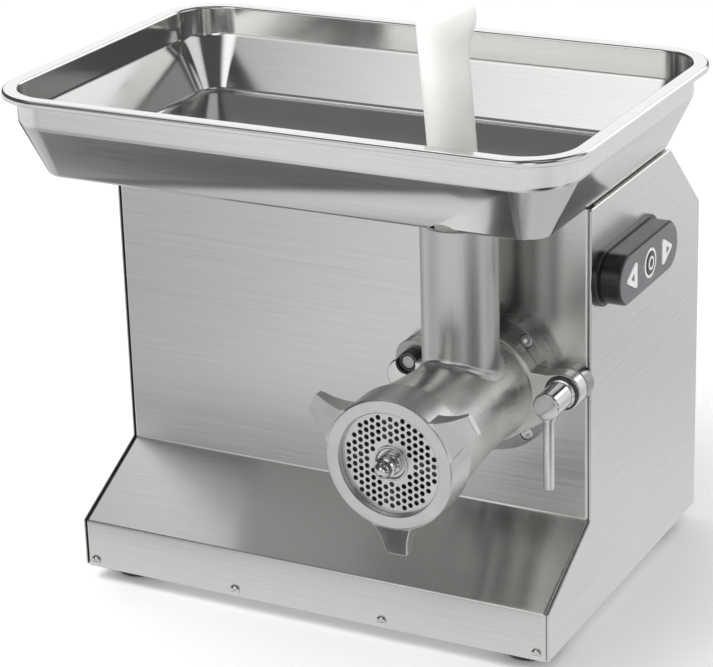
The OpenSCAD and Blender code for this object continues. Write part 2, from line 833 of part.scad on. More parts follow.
// Cross-section of the worm: a round core with one flight
function worm_section() = concat(
    [for (a = [60:50:310]) core_r * [cos(a), sin(a)]],
    [for (a = [0:13:52]) flight_r * [cos(a), sin(a)]]);

module auger() color("#a6a7a6") part_frame() on_axis() {
    translate([0, 0, auger_f + collar_t / 2])
        linear_extrude(auger_end - auger_f - collar_t / 2, twist = 360 * flight_turns, slices = 52)
            polygon(worm_section());
    rod(collar_r, auger_f, auger_f + collar_t);
    rod(journal_r, -2.2, auger_f + 1);
    translate([-tang / 2, -tang / 2, -24]) cube([tang, tang, 23]);
    translate([-6, -6, auger_end - 1]) cube([12, 12, plate_f - auger_end]);
}

module auger_stud() color("#c8c9ca") part_frame() on_axis()
    rotate_extrude($fn = 48) polygon(concat(
        [[0, plate_f - 1], [stud_r, plate_f - 1], [stud_r, 180], [stud_r - 1.4, 181.5],
         [6, 181.5]],
        [for (a = [0:15:75]) [6 * cos(a), 184.5 + 6 * sin(a)]], [[0, 190.5]]));

module knife() color("#c4c5c6") part_frame() on_axis() difference() {
    union() {
        rod(13, knife_f, plate_f - 1.2);
        for (a = [0:90:270]) rotate([0, 0, a])
            translate([0, -5, knife_f]) cube([37, 10, plate_f - knife_f - 0.4]);
    }
    translate([-6.2, -6.2, knife_f - over]) cube([12.4, 12.4, 20]);
    rod(stud_r + 0.4, plate_f - 1.2, plate_f);
}

plate_field_in = 13.7;
plate_field_out = 36.4;
rows = ceil(plate_field_out / (plate_pitch * sin(60)));
hole_points = [for (j = [-rows:rows], i = [-rows:rows])
    let (p = [plate_pitch * sin(60) * j, plate_pitch * (i + (j % 2) / 2)])
    if (norm(p) - plate_hole_d / 2 > plate_field_in && norm(p) + plate_hole_d / 2 < plate_field_out) p];

module hole_plate() color("#cfd0d1") part_frame() on_axis() difference() {
    rod(plate_r - 0.1, plate_f, plate_f + plate_t);
    for (p = hole_points)
        translate(p) rod(plate_hole_d / 2, plate_f - over, plate_f + plate_t + over, $fn = 20);
    rod(stud_r + run_gap, plate_f - over, plate_f + plate_t + over);
    translate([0, -plate_r, 0]) rod(key_r + 0.3, plate_f - over, plate_f + plate_t + over);
}

plate_opening_r = 38.3;
lug_angles = [31, 151, 271];
lug_half_base = 18;
lug_half_tip = 6;
lug_round = 3;
lug_t = 15;

module ring_nut() color("#c0c0be") part_frame() on_axis() difference() {
    union() {
        rotate_extrude($fn = 96) polygon([[0, ring_f - ring_l], [ring_r - 1, ring_f - ring_l],
            [ring_r, ring_f - ring_l + 1], [ring_r, ring_f - 1], [ring_r - 1, ring_f], [0, ring_f]]);
        for (a = lug_angles) rotate([0, 0, a]) translate([0, 0, ring_f - lug_t - 2])
            linear_extrude(lug_t) polygon(concat(
                [30 * [cos(-lug_half_base), sin(-lug_half_base)],
                 (ring_r - 1) * [cos(-lug_half_base), sin(-lug_half_base)],
                 (lug_r - lug_round) * [cos(-lug_half_tip - 2), sin(-lug_half_tip - 2)]],
                [for (b = [-lug_half_tip:3:lug_half_tip]) lug_r * [cos(b), sin(b)]],
                [(lug_r - lug_round) * [cos(lug_half_tip + 2), sin(lug_half_tip + 2)],
                 (ring_r - 1) * [cos(lug_half_base), sin(lug_half_base)],
                 30 * [cos(lug_half_base), sin(lug_half_base)]]));
    }
    rod(thread_r + 0.3, ring_f - ring_l - over, ring_f - ring_wall);
    rod(plate_opening_r, ring_f - ring_wall - over, ring_f + over);
}

knob_f = flange_f + flange_t;
knob_end = 56;
knob_r = 10.3;
lever_f = 50;
lever_r = 4;
lever_l = 66;
module clamp_screw() color("gainsboro") part_frame() on_axis() translate(clamp_at)
    rod(screw_r, 4, knob_f + 4);

module clamp_knob() color("#c9cacb") part_frame() on_axis() translate(clamp_at) difference() {
    rotate_extrude() polygon([[0, knob_f + 0.3], [knob_r + 1.2, knob_f + 0.3],
        [knob_r + 1.2, knob_f + 3], [knob_r, knob_f + 4], [knob_r, knob_end - 1.5],
        [knob_r - 1.3, knob_end], [0, knob_end]]);
    rod(screw_r, knob_f, knob_f + 4);
    translate([0, 0, lever_f]) rotate([90, 0, 0]) rod(lever_r, -2, 12);
}

module clamp_lever() color("#c9cacb") part_frame() on_axis() translate([clamp_at[0], clamp_at[1], lever_f])
    rotate([90, 0, 0]) {
        rod(lever_r, -2, lever_l - 1);
        translate([0, 0, lever_l - 1 - fine]) cylinder(r1 = lever_r, r2 = lever_r - 1, h = 1 + fine);
    }

// ---- tray and plunger -------------------------------------------------

rim_z = tray_z + tray_h;
band_w = rim_w - 2 * rim_lip;
band_d = rim_d - 2 * rim_lip;

// Solid block of the tray's shape; shrink takes the wall off each side
module tray_block(shrink, z0) {
    r_top = rim_corner - rim_lip - shrink;
    hull() {
        translate([0, 0, z0]) linear_extrude(fine)
            polygon(rounded_rect(band_w - 2 * (flare + shrink), band_d - 2 * (flare + shrink),
                                 20 - shrink));
        translate([0, 0, tray_z + flare_h]) linear_extrude(fine)
            polygon(rounded_rect(band_w - 2 * shrink, band_d - 2 * shrink, r_top));
    }
    translate([0, 0, tray_z + flare_h]) linear_extrude(rim_z - tray_z - flare_h + shrink)
        polygon(rounded_rect(band_w - 2 * shrink, band_d - 2 * shrink, r_top));
}

module tray() color("#c4c4c2") part_frame() translate([tray_x, tray_y, 0]) difference() {
    union() {
        tray_block(0, tray_z);
        translate([0, 0, rim_z - 5]) linear_extrude(5)
            polygon(rounded_rect(rim_w, rim_d, rim_corner));
    }
    translate([0, 0, rim_z - 5 - over]) linear_extrude(5 + over - tray_t) difference() {
        polygon(rounded_rect(rim_w - 2 * tray_t, rim_d - 2 * tray_t, rim_corner - tray_t));
        polygon(rounded_rect(band_w, band_d, rim_corner - rim_lip));
    }
    tray_block(tray_t, tray_z + tray_t);
    translate([axis_x - tray_x, -neck_f - tray_y, tray_z - over])
        cylinder(r = neck_r + 0.3, h = 30);
}

// The plunger's axis crosses the neck's axis at the height of the casing's top.
// Its head stands out to one side of the shaft.
stick_low = 78;
head_shift = 4.6;
head_r = 21.2;
module plunger() color("#f2f2ee") part_frame() translate([axis_x, -neck_f, casing_h])
    rotate([0, -stick_lean, 0]) translate([0, 0, -stick_low]) {
        rotate_extrude() polygon([[0, 0], [18, 0], [19, 1.5], [19, 22], [stick_r, 26],
            [stick_r, stick_l - 8], [0, stick_l - 8]]);
        translate([head_shift, 0, stick_l]) rotate_extrude() polygon([
            [0, -40], [head_r - 9.2, -40], [head_r - 3.2, -22], [head_r, -12], [head_r, -6],
            [head_r - 1.7, -1.5], [head_r - 5.7, 0], [0, 0]]);
    }

base_plate();
front_panel();
side_panel_left();
side_panel_right();
top_cover();
rear_panel();
apron_screws();
rear_screws();
feet();
foot_screws();
hub_flange();
hub_bolts();
locating_pin();
shaft_seal();
gearbox_housing();
gearbox_cover();
gearbox_screws();
output_bearings();
mid_bearings();
motor_bearings();
output_shaft();
output_gear();
mid_shaft();
mid_gear();
motor_shaft();
motor_rotor();
cooling_fan();
motor_housing();
motor_stator();
motor_end_shield();
fan_cowl();
motor_cradle();
run_capacitor();
contactor();
terminal_block();
cable_gland();
wiring();
switch_housing();
switch_face();
switch_contacts();
start_button();
stop_button();
reverse_button();
head_barrel();
feed_neck();
plate_key();
auger_washer();
auger();
auger_stud();
knife();
hole_plate();
ring_nut();
clamp_knob();
clamp_lever();
clamp_screw();
tray();
plunger();
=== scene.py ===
"""Looks of a bench-top electric meat grinder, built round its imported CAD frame.

Shapes are written in millimetres in a local frame and placed by a matrix that scales them to metres.
On the drive axis local z is the distance in front of the upright panel, y is up and x is to the right.
"""

import json
import math
import random

import bpy
from mathutils import Matrix, Vector
from mathutils.geometry import delaunay_2d_cdt


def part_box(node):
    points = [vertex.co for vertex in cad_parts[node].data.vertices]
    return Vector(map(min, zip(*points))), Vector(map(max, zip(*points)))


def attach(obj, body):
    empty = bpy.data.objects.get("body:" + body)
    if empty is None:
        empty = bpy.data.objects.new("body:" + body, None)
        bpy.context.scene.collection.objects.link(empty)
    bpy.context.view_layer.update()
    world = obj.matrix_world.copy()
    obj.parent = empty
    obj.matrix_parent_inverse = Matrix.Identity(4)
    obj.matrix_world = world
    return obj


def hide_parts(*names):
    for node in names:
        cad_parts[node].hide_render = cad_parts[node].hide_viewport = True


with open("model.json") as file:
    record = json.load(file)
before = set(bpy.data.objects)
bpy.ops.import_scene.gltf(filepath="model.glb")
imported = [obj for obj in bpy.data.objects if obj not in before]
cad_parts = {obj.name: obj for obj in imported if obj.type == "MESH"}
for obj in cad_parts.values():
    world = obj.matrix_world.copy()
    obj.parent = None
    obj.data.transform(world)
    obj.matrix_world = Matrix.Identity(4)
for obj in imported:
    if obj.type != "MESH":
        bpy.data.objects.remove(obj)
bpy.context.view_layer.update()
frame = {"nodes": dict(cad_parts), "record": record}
random.seed(22)

# ---- places, from the frame -------------------------------------------

MM = 0.001
SHEET = 1.5
FOLD = 12.0

left_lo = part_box("side_panel_left")[0]
right_lo, right_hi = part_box("side_panel_right")
PANEL_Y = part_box("front_panel")[1].y - SHEET * MM
CASING_X = (left_lo.x + right_hi.x) / 2
BASE_Z = right_lo.z

HALF_W = (right_hi.x - left_lo.x) / 2 / MM
APRON_D = (PANEL_Y - right_lo.y) / MM
CASING_D = (right_hi.y - PANEL_Y) / MM
CASING_H = (right_hi.z - BASE_Z) / MM
APRON_H = 38.7
SLOPE_H = 80.0
TOP_D = 158.0
REAR_H = 263.0

stud_lo, stud_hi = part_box("auger_stud")
AXIS_X = (stud_lo.x + stud_hi.x) / 2
AXIS_Z = (stud_lo.z + stud_hi.z) / 2
STUD_END = (PANEL_Y - stud_lo.y) / MM
NECK_F = 58.0


def casing_frame():
    """x from the casing's middle, y from the upright panel, z from the casing's bottom edge."""
    return Matrix.Translation((CASING_X, PANEL_Y, BASE_Z)) @ Matrix.Scale(MM, 4)


def facing_front(x, y, z):
    """Local z points to -Y, local y up."""
    return Matrix.Translation((x, y, z)) @ Matrix.Rotation(math.radians(90), 4, "X") @ Matrix.Scale(MM, 4)


def facing_right(x, y, z):
    """Local z points to +X, local x to +Y and local y up."""
    turn = Matrix(((0, 0, 1, 0), (1, 0, 0, 0), (0, 1, 0, 0), (0, 0, 0, 1)))
    return Matrix.Translation((x, y, z)) @ turn @ Matrix.Scale(MM, 4)


ON_AXIS = facing_front(AXIS_X, PANEL_Y, AXIS_Z)
CASING = casing_frame()

# ---- outlines, as lists of (x, y) -------------------------------------


def circle(r, n=64, cx=0.0, cy=0.0):
    angles = [2 * math.pi * i / n for i in range(n)]
    return [(cx + r * math.cos(a), cy + r * math.sin(a)) for a in angles]


def fillet(points, radius, steps=5, closed=True):
    """The outline with its corners rounded; radius is one value or one for each corner."""
    made = []
    count = len(points)
    for i, corner in enumerate(points):
        r = radius[i] if isinstance(radius, (list, tuple)) else radius
        p = Vector(corner)
        if (not closed and i in (0, count - 1)) or r <= 0:
            made.append(tuple(p))
            continue
        before = Vector(points[i - 1]) - p
        after = Vector(points[(i + 1) % count]) - p
        angle = before.angle(after, math.pi)
        if angle > math.radians(178):
            made.append(tuple(p))
            continue
        tangent = min(r / math.tan(angle / 2), 0.49 * before.length, 0.49 * after.length)
        r = tangent * math.tan(angle / 2)
        middle = p + (before.normalized() + after.normalized()).normalized() * r / math.sin(angle / 2)
        start = p + before.normalized() * tangent - middle
        sweep = math.pi - angle
        if before.x * after.y - before.y * after.x > 0:
            sweep = -sweep
        for k in range(steps + 1):
            made.append(tuple(middle + Matrix.Rotation(sweep * k / steps, 2) @ start))
    return made


def moved(points, distance, closed=True):
    """The outline with each point moved to the right of its direction of travel, corners mitred."""
    made = []
    count = len(points)
    for i, point in enumerate(points):
        p = Vector(point)
        before = p - Vector(points[i - 1]) if closed or i > 0 else None
        after = Vector(points[(i + 1) % count]) - p if closed or i < count - 1 else None
        a = (before or after).normalized()
        b = (after or before).normalized()
        side = Vector((a.y + b.y, -a.x - b.x)).normalized()
        made.append(tuple(p + side * distance / max(side.dot(Vector((a.y, -a.x))), 0.3)))
    return made


def rounded_rect(w, d, r, steps=8):
    half_w, half_d = w / 2, d / 2
    return fillet([(half_w, -half_d), (half_w, half_d), (-half_w, half_d), (-half_w, -half_d)], r, steps)


def stadium(length, height):
    return rounded_rect(length, height, height / 2 - 0.01, 14)


WEB_INSET = 2.5
WEB_TAPER = 8


def eared(r, ears, ear_r, flank=None, n=240):
    """Outline round a disc and its round ears, each carried by a web.

    The ear named as flank also has a straight lower edge that runs on to the disc."""
    reach = [float(r)] * n
    if flank:
        middle = Vector(flank)
        turn = math.atan2(middle.y, middle.x) - math.acos((r - ear_r) / middle.length)
        edge = Vector((math.cos(turn), math.sin(turn)))
        for i in range(n):
            way = Vector((math.cos(2 * math.pi * i / n), math.sin(2 * math.pi * i / n)))
            if way.dot(edge) > 0:
                along = r / way.dot(edge)
                drop = (edge * r - way * along).length
                if edge.cross(way) > 0 and drop < (middle + edge * ear_r - edge * r).length:
                    reach[i] = max(reach[i], along)
    for x, y in ears:
        centre = Vector((x, y))
        for i in range(n):
            a = 2 * math.pi * i / n
            way = Vector((math.cos(a), math.sin(a)))
            along, off = way.dot(centre), abs(way.x * y - way.y * x)
            if along > 0 and off < ear_r:
                reach[i] = max(reach[i], along + math.sqrt(ear_r ** 2 - off ** 2))
            elif along > 0:
                slope = off / along
                end = (ear_r - WEB_INSET + WEB_TAPER) / (slope + WEB_TAPER / centre.length)
                if end < centre.length:
                    reach[i] = max(reach[i], end * math.hypot(1, slope))
    return [(reach[i] * math.cos(2 * math.pi * i / n), reach[i] * math.sin(2 * math.pi * i / n))
            for i in range(n)]


# ---- shapes -----------------------------------------------------------


class Shape:
    """Vertices and faces in a local frame."""

    def __init__(self):
        self.verts = []
        self.faces = []

    def ring(self, points):
        start = len(self.verts)
        self.verts += [tuple(p) for p in points]
        return list(range(start, len(self.verts)))

    def bridge(self, a, b, closed=True):
        for i in range(len(a) if closed else len(a) - 1):
            j = (i + 1) % len(a)
            self.faces.append((a[i], a[j], b[j], b[i]))

    def fan(self, ring, point, outward):
        tip = self.ring([point])[0]
        for i in range(len(ring)):
            face = (ring[i], ring[(i + 1) % len(ring)], tip)
            self.faces.append(face if outward else face[::-1])

    def fill(self, rings, up):
        """Flat cap over the area inside the first ring and outside the others."""
        flat = [Vector(self.verts[i][:2]) for ring in rings for i in ring]
        ids = [i for ring in rings for i in ring]
        edges, start = [], 0
        for ring in rings:
            edges += [(start + k, start + (k + 1) % len(ring)) for k in range(len(ring))]
            start += len(ring)
        points, _, triangles, origin, _, _ = delaunay_2d_cdt(flat, edges, [], 1, 1e-7)
        if len(points) > len(flat):
            raise ValueError(f"outlines cross: {len(points)} points from {len(flat)}")
        loops = [[Vector(self.verts[i][:2]) for i in ring] for ring in rings]
        for tri in triangles:
            middle = sum((points[k] for k in tri), Vector((0, 0))) / len(tri)
            if sum(inside(loop, middle) for loop in loops) % 2 == 0:
                continue
            face = [ids[origin[k][0]] for k in tri]
            a, b, c = (points[k] for k in tri[:3])
            counter = (b - a).cross(c - a) > 0
            self.faces.append(tuple(face if counter == up else face[::-1]))

    def add(self, other, matrix=Matrix.Identity(4)):
        start = len(self.verts)
        self.verts += [tuple(matrix @ Vector(v)) for v in other.verts]
        self.faces += [tuple(i + start for i in face) for face in other.faces]
        return self


def inside(loop, p):
    hit = False
    for i, b in enumerate(loop):
        a = loop[i - 1]
        if (a.y > p.y) != (b.y > p.y) and p.x < (b.x - a.x) * (p.y - a.y) / (b.y - a.y) + a.x:
            hit = not hit
    return hit


def lathe(profile, n=96, closed=False):
    """Turned shape about local z from (radius, z) points that run with the material on their left."""
    shape = Shape()
    rings = []
    for r, z in profile:
        if r < 1e-6:
            rings.append(shape.ring([(0, 0, z)]))
        else:
            rings.append(shape.ring([(x, y, z) for x, y in circle(r, n)]))
    pairs = list(zip(rings, rings[1:] + rings[:1])) if closed else list(zip(rings, rings[1:]))
    for a, b in pairs:
        if len(a) == 1 and len(b) > 1:
            shape.faces += [(a[0], b[(i + 1) % n], b[i]) for i in range(n)]
        elif len(b) == 1 and len(a) > 1:
            shape.faces += [(a[i], a[(i + 1) % n], b[0]) for i in range(n)]
        elif len(a) > 1:
            shape.bridge(a, b)
    return shape


def turned(points, radius=0.6, n=96, steps=3, closed=False):
    return lathe(fillet(points, radius, steps, closed), n, closed)


def prism(outline, z0, z1, low=0.4, high=0.4, holes=(), steps=3, hole_edge=0.25):
    """Flat plate with rounded edges: low is the edge radius at z0 and high at z1."""
    shape = Shape()
    quarter = [math.radians(90 * k / steps) for k in range(steps + 1)]
    ends = []
    for loop, sign in [(outline, -1)] + [(hole, 1) for hole in holes]:
        a, b = (low, high) if sign < 0 else (min(low, hole_edge), min(high, hole_edge))
        section = [(a * (1 - math.sin(t)), z0 + a * (1 - math.cos(t))) for t in quarter]
        section += [(b * (1 - math.sin(t)), z1 - b * (1 - math.cos(t))) for t in reversed(quarter)]
        rings = [shape.ring([(x, y, z) for x, y in moved(loop, sign * inset)]) for inset, z in section]
        for a, b in zip(rings, rings[1:]):
            shape.bridge(*((a, b) if sign < 0 else (b, a)))
        ends.append((rings[0], rings[-1]))
    shape.fill([e[0] for e in ends], up=False)
    shape.fill([e[1] for e in ends], up=True)
    return shape


def loft(rings, capped=True):
    """Skin through closed rings of 3D points that turn left about the direction of travel."""
    shape = Shape()
    made = [shape.ring(r) for r in rings]
    for a, b in zip(made, made[1:]):
        shape.bridge(a, b)
    if capped:
        shape.faces.append(tuple(reversed(made[0])))
        shape.faces.append(tuple(made[-1]))
    return shape


def bent_sheet(path, half_w, bend=2.5, side_r=0.5, flange=SHEET, thick=SHEET):
    """Sheet bent along a path of (y, z), outer face on its left, its side edges turned in by a flange."""
    quarter = [math.radians(90 * k / 4) for k in range(5)]
    outer = [(half_w, max(flange, side_r))]
    outer += [(half_w - side_r * (1 - math.cos(a)), side_r * (1 - math.sin(a))) for a in quarter]
    inner_r = max(side_r - thick, 0.05)
    inner = [(half_w - thick, max(flange, thick + inner_r))]
    inner += [(half_w - thick - inner_r * (1 - math.cos(a)), thick + inner_r * (1 - math.sin(a)))
              for a in quarter]
    outer = [(-x, d) for x, d in outer] + [(x, d) for x, d in reversed(outer)]
    inner = [(-x, d) for x, d in inner] + [(x, d) for x, d in reversed(inner)]
    loop = outer + inner[::-1]
    turns = []
    for i in range(1, len(path) - 1):
        a, b = Vector(path[i]) - Vector(path[i - 1]), Vector(path[i + 1]) - Vector(path[i])
        turns.append(a.x * b.y - a.y * b.x)
    shape = Shape()
    lines = []
    for x, depth in loop:
        radii = [0] + [max(bend - depth, 0.05) if t < 0 else bend + depth for t in turns] + [0]
        line = fillet(moved(path, depth, closed=False), radii, 4, closed=False)
        lines.append([(x, y, z) for y, z in line])
    columns = [shape.ring(line) for line in lines]
    for i in range(len(columns)):
        shape.bridge(columns[i - 1], columns[i], closed=False)
    last = len(columns) - 1
    for k in range(len(columns) // 2 - 1):
        ends = (columns[k], columns[k + 1], columns[last - k - 1], columns[last - k])
        shape.faces.append(tuple(c[0] for c in ends))
        shape.faces.append(tuple(c[-1] for c in reversed(ends)))
    return shape


def block(size, at):
    """Straight-edged box, used as a cutter."""
    x, y, z = (s / 2 for s in size)
    ring = [(-x, -y), (x, -y), (x, y), (-x, y)]
    shape = loft([[(at[0] + u, at[1] + v, at[2] - z) for u, v in ring],
                  [(at[0] + u, at[1] + v, at[2] + z) for u, v in ring]])
    return shape


# ---- pieces -----------------------------------------------------------


def raw_object(name, shape, matrix):
    mesh = bpy.data.meshes.new(name)
    mesh.from_pydata([matrix @ Vector(v) for v in shape.verts], [], shape.faces)
    mesh.validate()
    thing = bpy.data.objects.new(name, mesh)
    bpy.context.scene.collection.objects.link(thing)
    return thing


def cut(thing, cutters):
    """Takes closed cutter objects away from a piece."""
    for cutter in cutters:
        modifier = thing.modifiers.new("cut", "BOOLEAN")
        modifier.object = cutter
        modifier.solver = "EXACT"
    graph = bpy.context.evaluated_depsgraph_get()
    mesh = bpy.data.meshes.new_from_object(thing.evaluated_get(graph))
    thing.modifiers.clear()
    thing.data = mesh
    for cutter in cutters:
        bpy.data.objects.remove(cutter)


def piece(name, shape, matrix, finish, body, stands_for=(), cutters=(), soften=35, weighted=True):
    """A finished piece of the object, riding on a CAD body."""
    thing = raw_object(name, shape, matrix)
    if cutters:
        cut(thing, [raw_object(f"{name}_cutter{i}", c, matrix) for i, c in enumerate(cutters)])
    mesh = thing.data
    mesh.materials.clear()
    mesh.materials.append(finish)
    mesh.polygons.foreach_set("use_smooth", [True] * len(mesh.polygons))
    mesh.set_sharp_from_angle(angle=math.radians(soften))
    if weighted:
        modifier = thing.modifiers.new("normals", "WEIGHTED_NORMAL")
        modifier.keep_sharp = True
    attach(thing, body)
    if stands_for:
        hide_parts(*stands_for)
    return thing


# ---- materials --------------------------------------------------------


def add_node(tree, kind, links=(), values=(), **settings):
    """A new node, with its settings, its constant inputs and the sources of its other inputs."""
    made = tree.nodes.new(kind)
    for key, value in settings.items():
        setattr(made, key, value)
    for key, value in dict(values).items():
        made.inputs[key].default_value = value
    for key, source in dict(links).items():
        tree.links.new(source, made.inputs[key])
    return made


class Finish:
    """A procedural material on one Principled shader."""

    def __init__(self, name, colour, roughness, metallic=0.0):
        self.material = bpy.data.materials.new(name)
        self.material.use_nodes = True
        self.tree = self.material.node_tree
        self.tree.nodes.clear()
        output = self.tree.nodes.new("ShaderNodeOutputMaterial")
        self.shader = self.tree.nodes.new("ShaderNodeBsdfPrincipled")
        self.tree.links.new(self.shader.outputs[0], output.inputs[0])
        self.shader.inputs["Metallic"].default_value = metallic
        self.colour = colour
        self.roughness = roughness
        self.place = self.node("ShaderNodeTexCoord").outputs["Object"]
        self.height = None

    def node(self, kind, links=(), values=(), **settings):
        return add_node(self.tree, kind, links, values, **settings)

    def noise(self, scale, detail=3.0, roughness=0.5, distortion=0.0):
        """Noise in object space; scale is a number or one for each axis, in features a metre."""
        size = scale if isinstance(scale, (list, tuple)) else (scale,) * 3
        place = self.node("ShaderNodeMapping", {"Vector": self.place}, {"Scale": size})
        values = {"Scale": 1.0, "Detail": detail, "Roughness": roughness, "Distortion": distortion}
        return self.node("ShaderNodeTexNoise", {"Vector": place.outputs[0]}, values).outputs["Fac"]

    def between(self, source, low, high, start=0.3, end=0.7):
        values = {"From Min": start, "From Max": end, "To Min": low, "To Max": high}
        return self.node("ShaderNodeMapRange", {"Value": source}, values).outputs[0]

    def math(self, operation, a, b):
        made = self.node("ShaderNodeMath", operation=operation)
        for socket, value in zip(made.inputs, (a, b)):
            if isinstance(value, (int, float)):
                socket.default_value = value
            else:
                self.tree.links.new(value, socket)
        return made.outputs[0]

    def tint(self, factor, darker, lighter):
        """Colour that runs from darker to lighter multiples of the base colour."""
        mix = self.node("ShaderNodeMix", {"Factor": factor}, data_type="RGBA")
        mix.inputs[6].default_value = (*(c * darker for c in self.colour), 1)
        mix.inputs[7].default_value = (*(min(c * lighter, 1) for c in self.colour), 1)
        return mix.outputs[2]

    def set_colour(self, source):
        self.tree.links.new(source, self.shader.inputs["Base Color"])

    def set_roughness(self, source):
        self.tree.links.new(source, self.shader.inputs["Roughness"])

    def bump(self, source, distance, strength=1.0):
        links = {"Height": source}
        if self.height is not None:
            links["Normal"] = self.height
        made = self.node("ShaderNodeBump", links, {"Strength": strength, "Distance": distance})
        self.height = made.outputs[0]
        self.tree.links.new(self.height, self.shader.inputs["Normal"])

    def brushed_along(self, axis, amount):
        """Grinding lines along one axis, so that highlights stretch across them."""
        tangent = self.node("ShaderNodeTangent", direction_type="RADIAL", axis=axis)
        self.tree.links.new(tangent.outputs[0], self.shader.inputs["Tangent"])
        self.shader.inputs["Anisotropic"].default_value = amount

    def turned_round(self, axis, amount):
        """Turning lines round an axis, so that highlights stretch along it."""
        tangent = self.node("ShaderNodeTangent", direction_type="RADIAL", axis=axis)
        normal = self.node("ShaderNodeNewGeometry").outputs["Normal"]
        across = self.node("ShaderNodeVectorMath", operation="CROSS_PRODUCT")
        self.tree.links.new(tangent.outputs[0], across.inputs[0])
        self.tree.links.new(normal, across.inputs[1])
        self.tree.links.new(across.outputs[0], self.shader.inputs["Tangent"])
        self.shader.inputs["Anisotropic"].default_value = amount

    def toward(self, source, amount, share):
        """Takes a colour source by amount to share of the base colour."""
        mix = self.node("ShaderNodeMix", {"Factor": amount, 6: source}, data_type="RGBA")
        mix.inputs[7].default_value = (*(min(c * share, 1) for c in self.colour), 1)
        return mix.outputs[2]

    def painted_shade_below(self, source, share):
        """Paints shade into a colour source where the surface looks down."""
        normal = self.node("ShaderNodeNewGeometry").outputs["Normal"]
        height = self.node("ShaderNodeSeparateXYZ", {0: normal}).outputs[2]
        return self.toward(source, self.between(height, 1.0, 0.0, -0.45, -0.1), share)

    def worn_edges(self, source, lighter):
        """Lightens the ridges of the mesh over a colour source."""
        ridge = self.node("ShaderNodeNewGeometry").outputs["Pointiness"]
        return self.toward(source, self.between(ridge, 0.0, 1.0, 0.52, 0.60), lighter)


def brushed_steel(name, colour, roughness, axis="X", across=0.85, wave=0.00005, underside_shade=1.0):
    """Satin sheet: long fine grinding lines, faint smudges and the slight waves of pressed sheet.

    Faces that look down get painted shade, darkened towards the given share of the colour."""
    steel = Finish(name, colour, roughness, 1.0)
    order = "XYZ".index(axis)
    fine = [1100.0] * 3
    fine[order] = 22.0
    coarse = [420.0] * 3
    coarse[order] = 7.0
    lines = steel.noise(fine, 2.0)
    bands = steel.noise(coarse, 2.0)
    smudges = steel.noise(6.0, 3.0, 0.5, 0.4)
    grain = steel.math("ADD", steel.math("MULTIPLY", lines, 0.6), steel.math("MULTIPLY", bands, 0.4))
    shade = steel.tint(steel.between(grain, 0.0, 1.0), 0.95, 1.04)
    # painted shade on faces that look down
    if underside_shade < 1:
        shade = steel.painted_shade_below(shade, underside_shade)
    steel.set_colour(shade)
    worn = steel.between(smudges, roughness * 0.92, roughness * 1.12)
    steel.set_roughness(steel.math("ADD", worn, steel.between(grain, -0.015, 0.02)))
    steel.bump(steel.noise(5.0, 1.0), wave)
    steel.bump(lines, 0.000002, 0.4)
    steel.brushed_along(axis, across)
    return steel.material


def turned_steel(name, colour, roughness, axis="Y", across=0.5, ring=900.0):
    """Machined steel with fine turning marks round its axis."""
    steel = Finish(name, colour, roughness, 1.0)
    marks = [160.0] * 3
    marks["XYZ".index(axis)] = ring
    lines = steel.noise(marks, 2.0)
    patches = steel.noise(60.0, 3.0, 0.6)
    steel.set_colour(steel.tint(steel.between(patches, 0.0, 1.0), 0.9, 1.06))
    steel.set_roughness(steel.math("ADD", steel.between(patches, roughness * 0.8, roughness * 1.25),
                                   steel.between(lines, -0.03, 0.03)))
    steel.bump(lines, 0.000006, 0.6)
    steel.turned_round(axis, across)
    return steel.material


def cast_metal(name, colour, roughness, pit=0.00003, metallic=1.0, lighter=1.15):
    """Blasted casting: fine pebbled skin, soft mottling and rubbed edges."""
    metal = Finish(name, colour, roughness, metallic)
    skin = metal.noise(1500.0, 3.0, 0.6)
    lumps = metal.noise(120.0, 3.0)
    mottle = metal.noise(28.0, 4.0, 0.6, 0.4)
    shade = metal.tint(metal.between(mottle, 0.0, 1.0), 0.88, 1.06)
    metal.set_colour(metal.worn_edges(shade, lighter))
    metal.set_roughness(metal.math("ADD", metal.between(mottle, roughness * 0.88, roughness * 1.12),
                                   metal.between(skin, -0.03, 0.03)))
    metal.bump(lumps, pit * 2)
    metal.bump(skin, pit * 0.5)
    return metal.material


def plastic(name, colour, roughness, skin_size=1300.0, depth=0.00001, milky=0.0):
    """Moulded plastic with a fine spark-eroded skin; milky plastic lets light in."""
    resin = Finish(name, colour, roughness)
    skin = resin.noise(skin_size, 3.0, 0.6)
    cloud = resin.noise(22.0, 3.0, 0.5, 0.3)
    resin.set_colour(resin.worn_edges(resin.tint(resin.between(cloud, 0.0, 1.0), 0.93, 1.04), 1.2))
    resin.set_roughness(resin.math("ADD", resin.between(cloud, roughness * 0.9, roughness * 1.1),
                                   resin.between(skin, -0.05, 0.05)))
    resin.bump(skin, depth)
    if milky:
        resin.bump(resin.noise(90.0, 2.0), 0.00008)
        resin.shader.inputs["Subsurface Weight"].default_value = milky
        resin.shader.inputs["Subsurface Radius"].default_value = (1.0, 0.9, 0.8)
        resin.shader.inputs["Subsurface Scale"].default_value = 0.008
    return resin.material


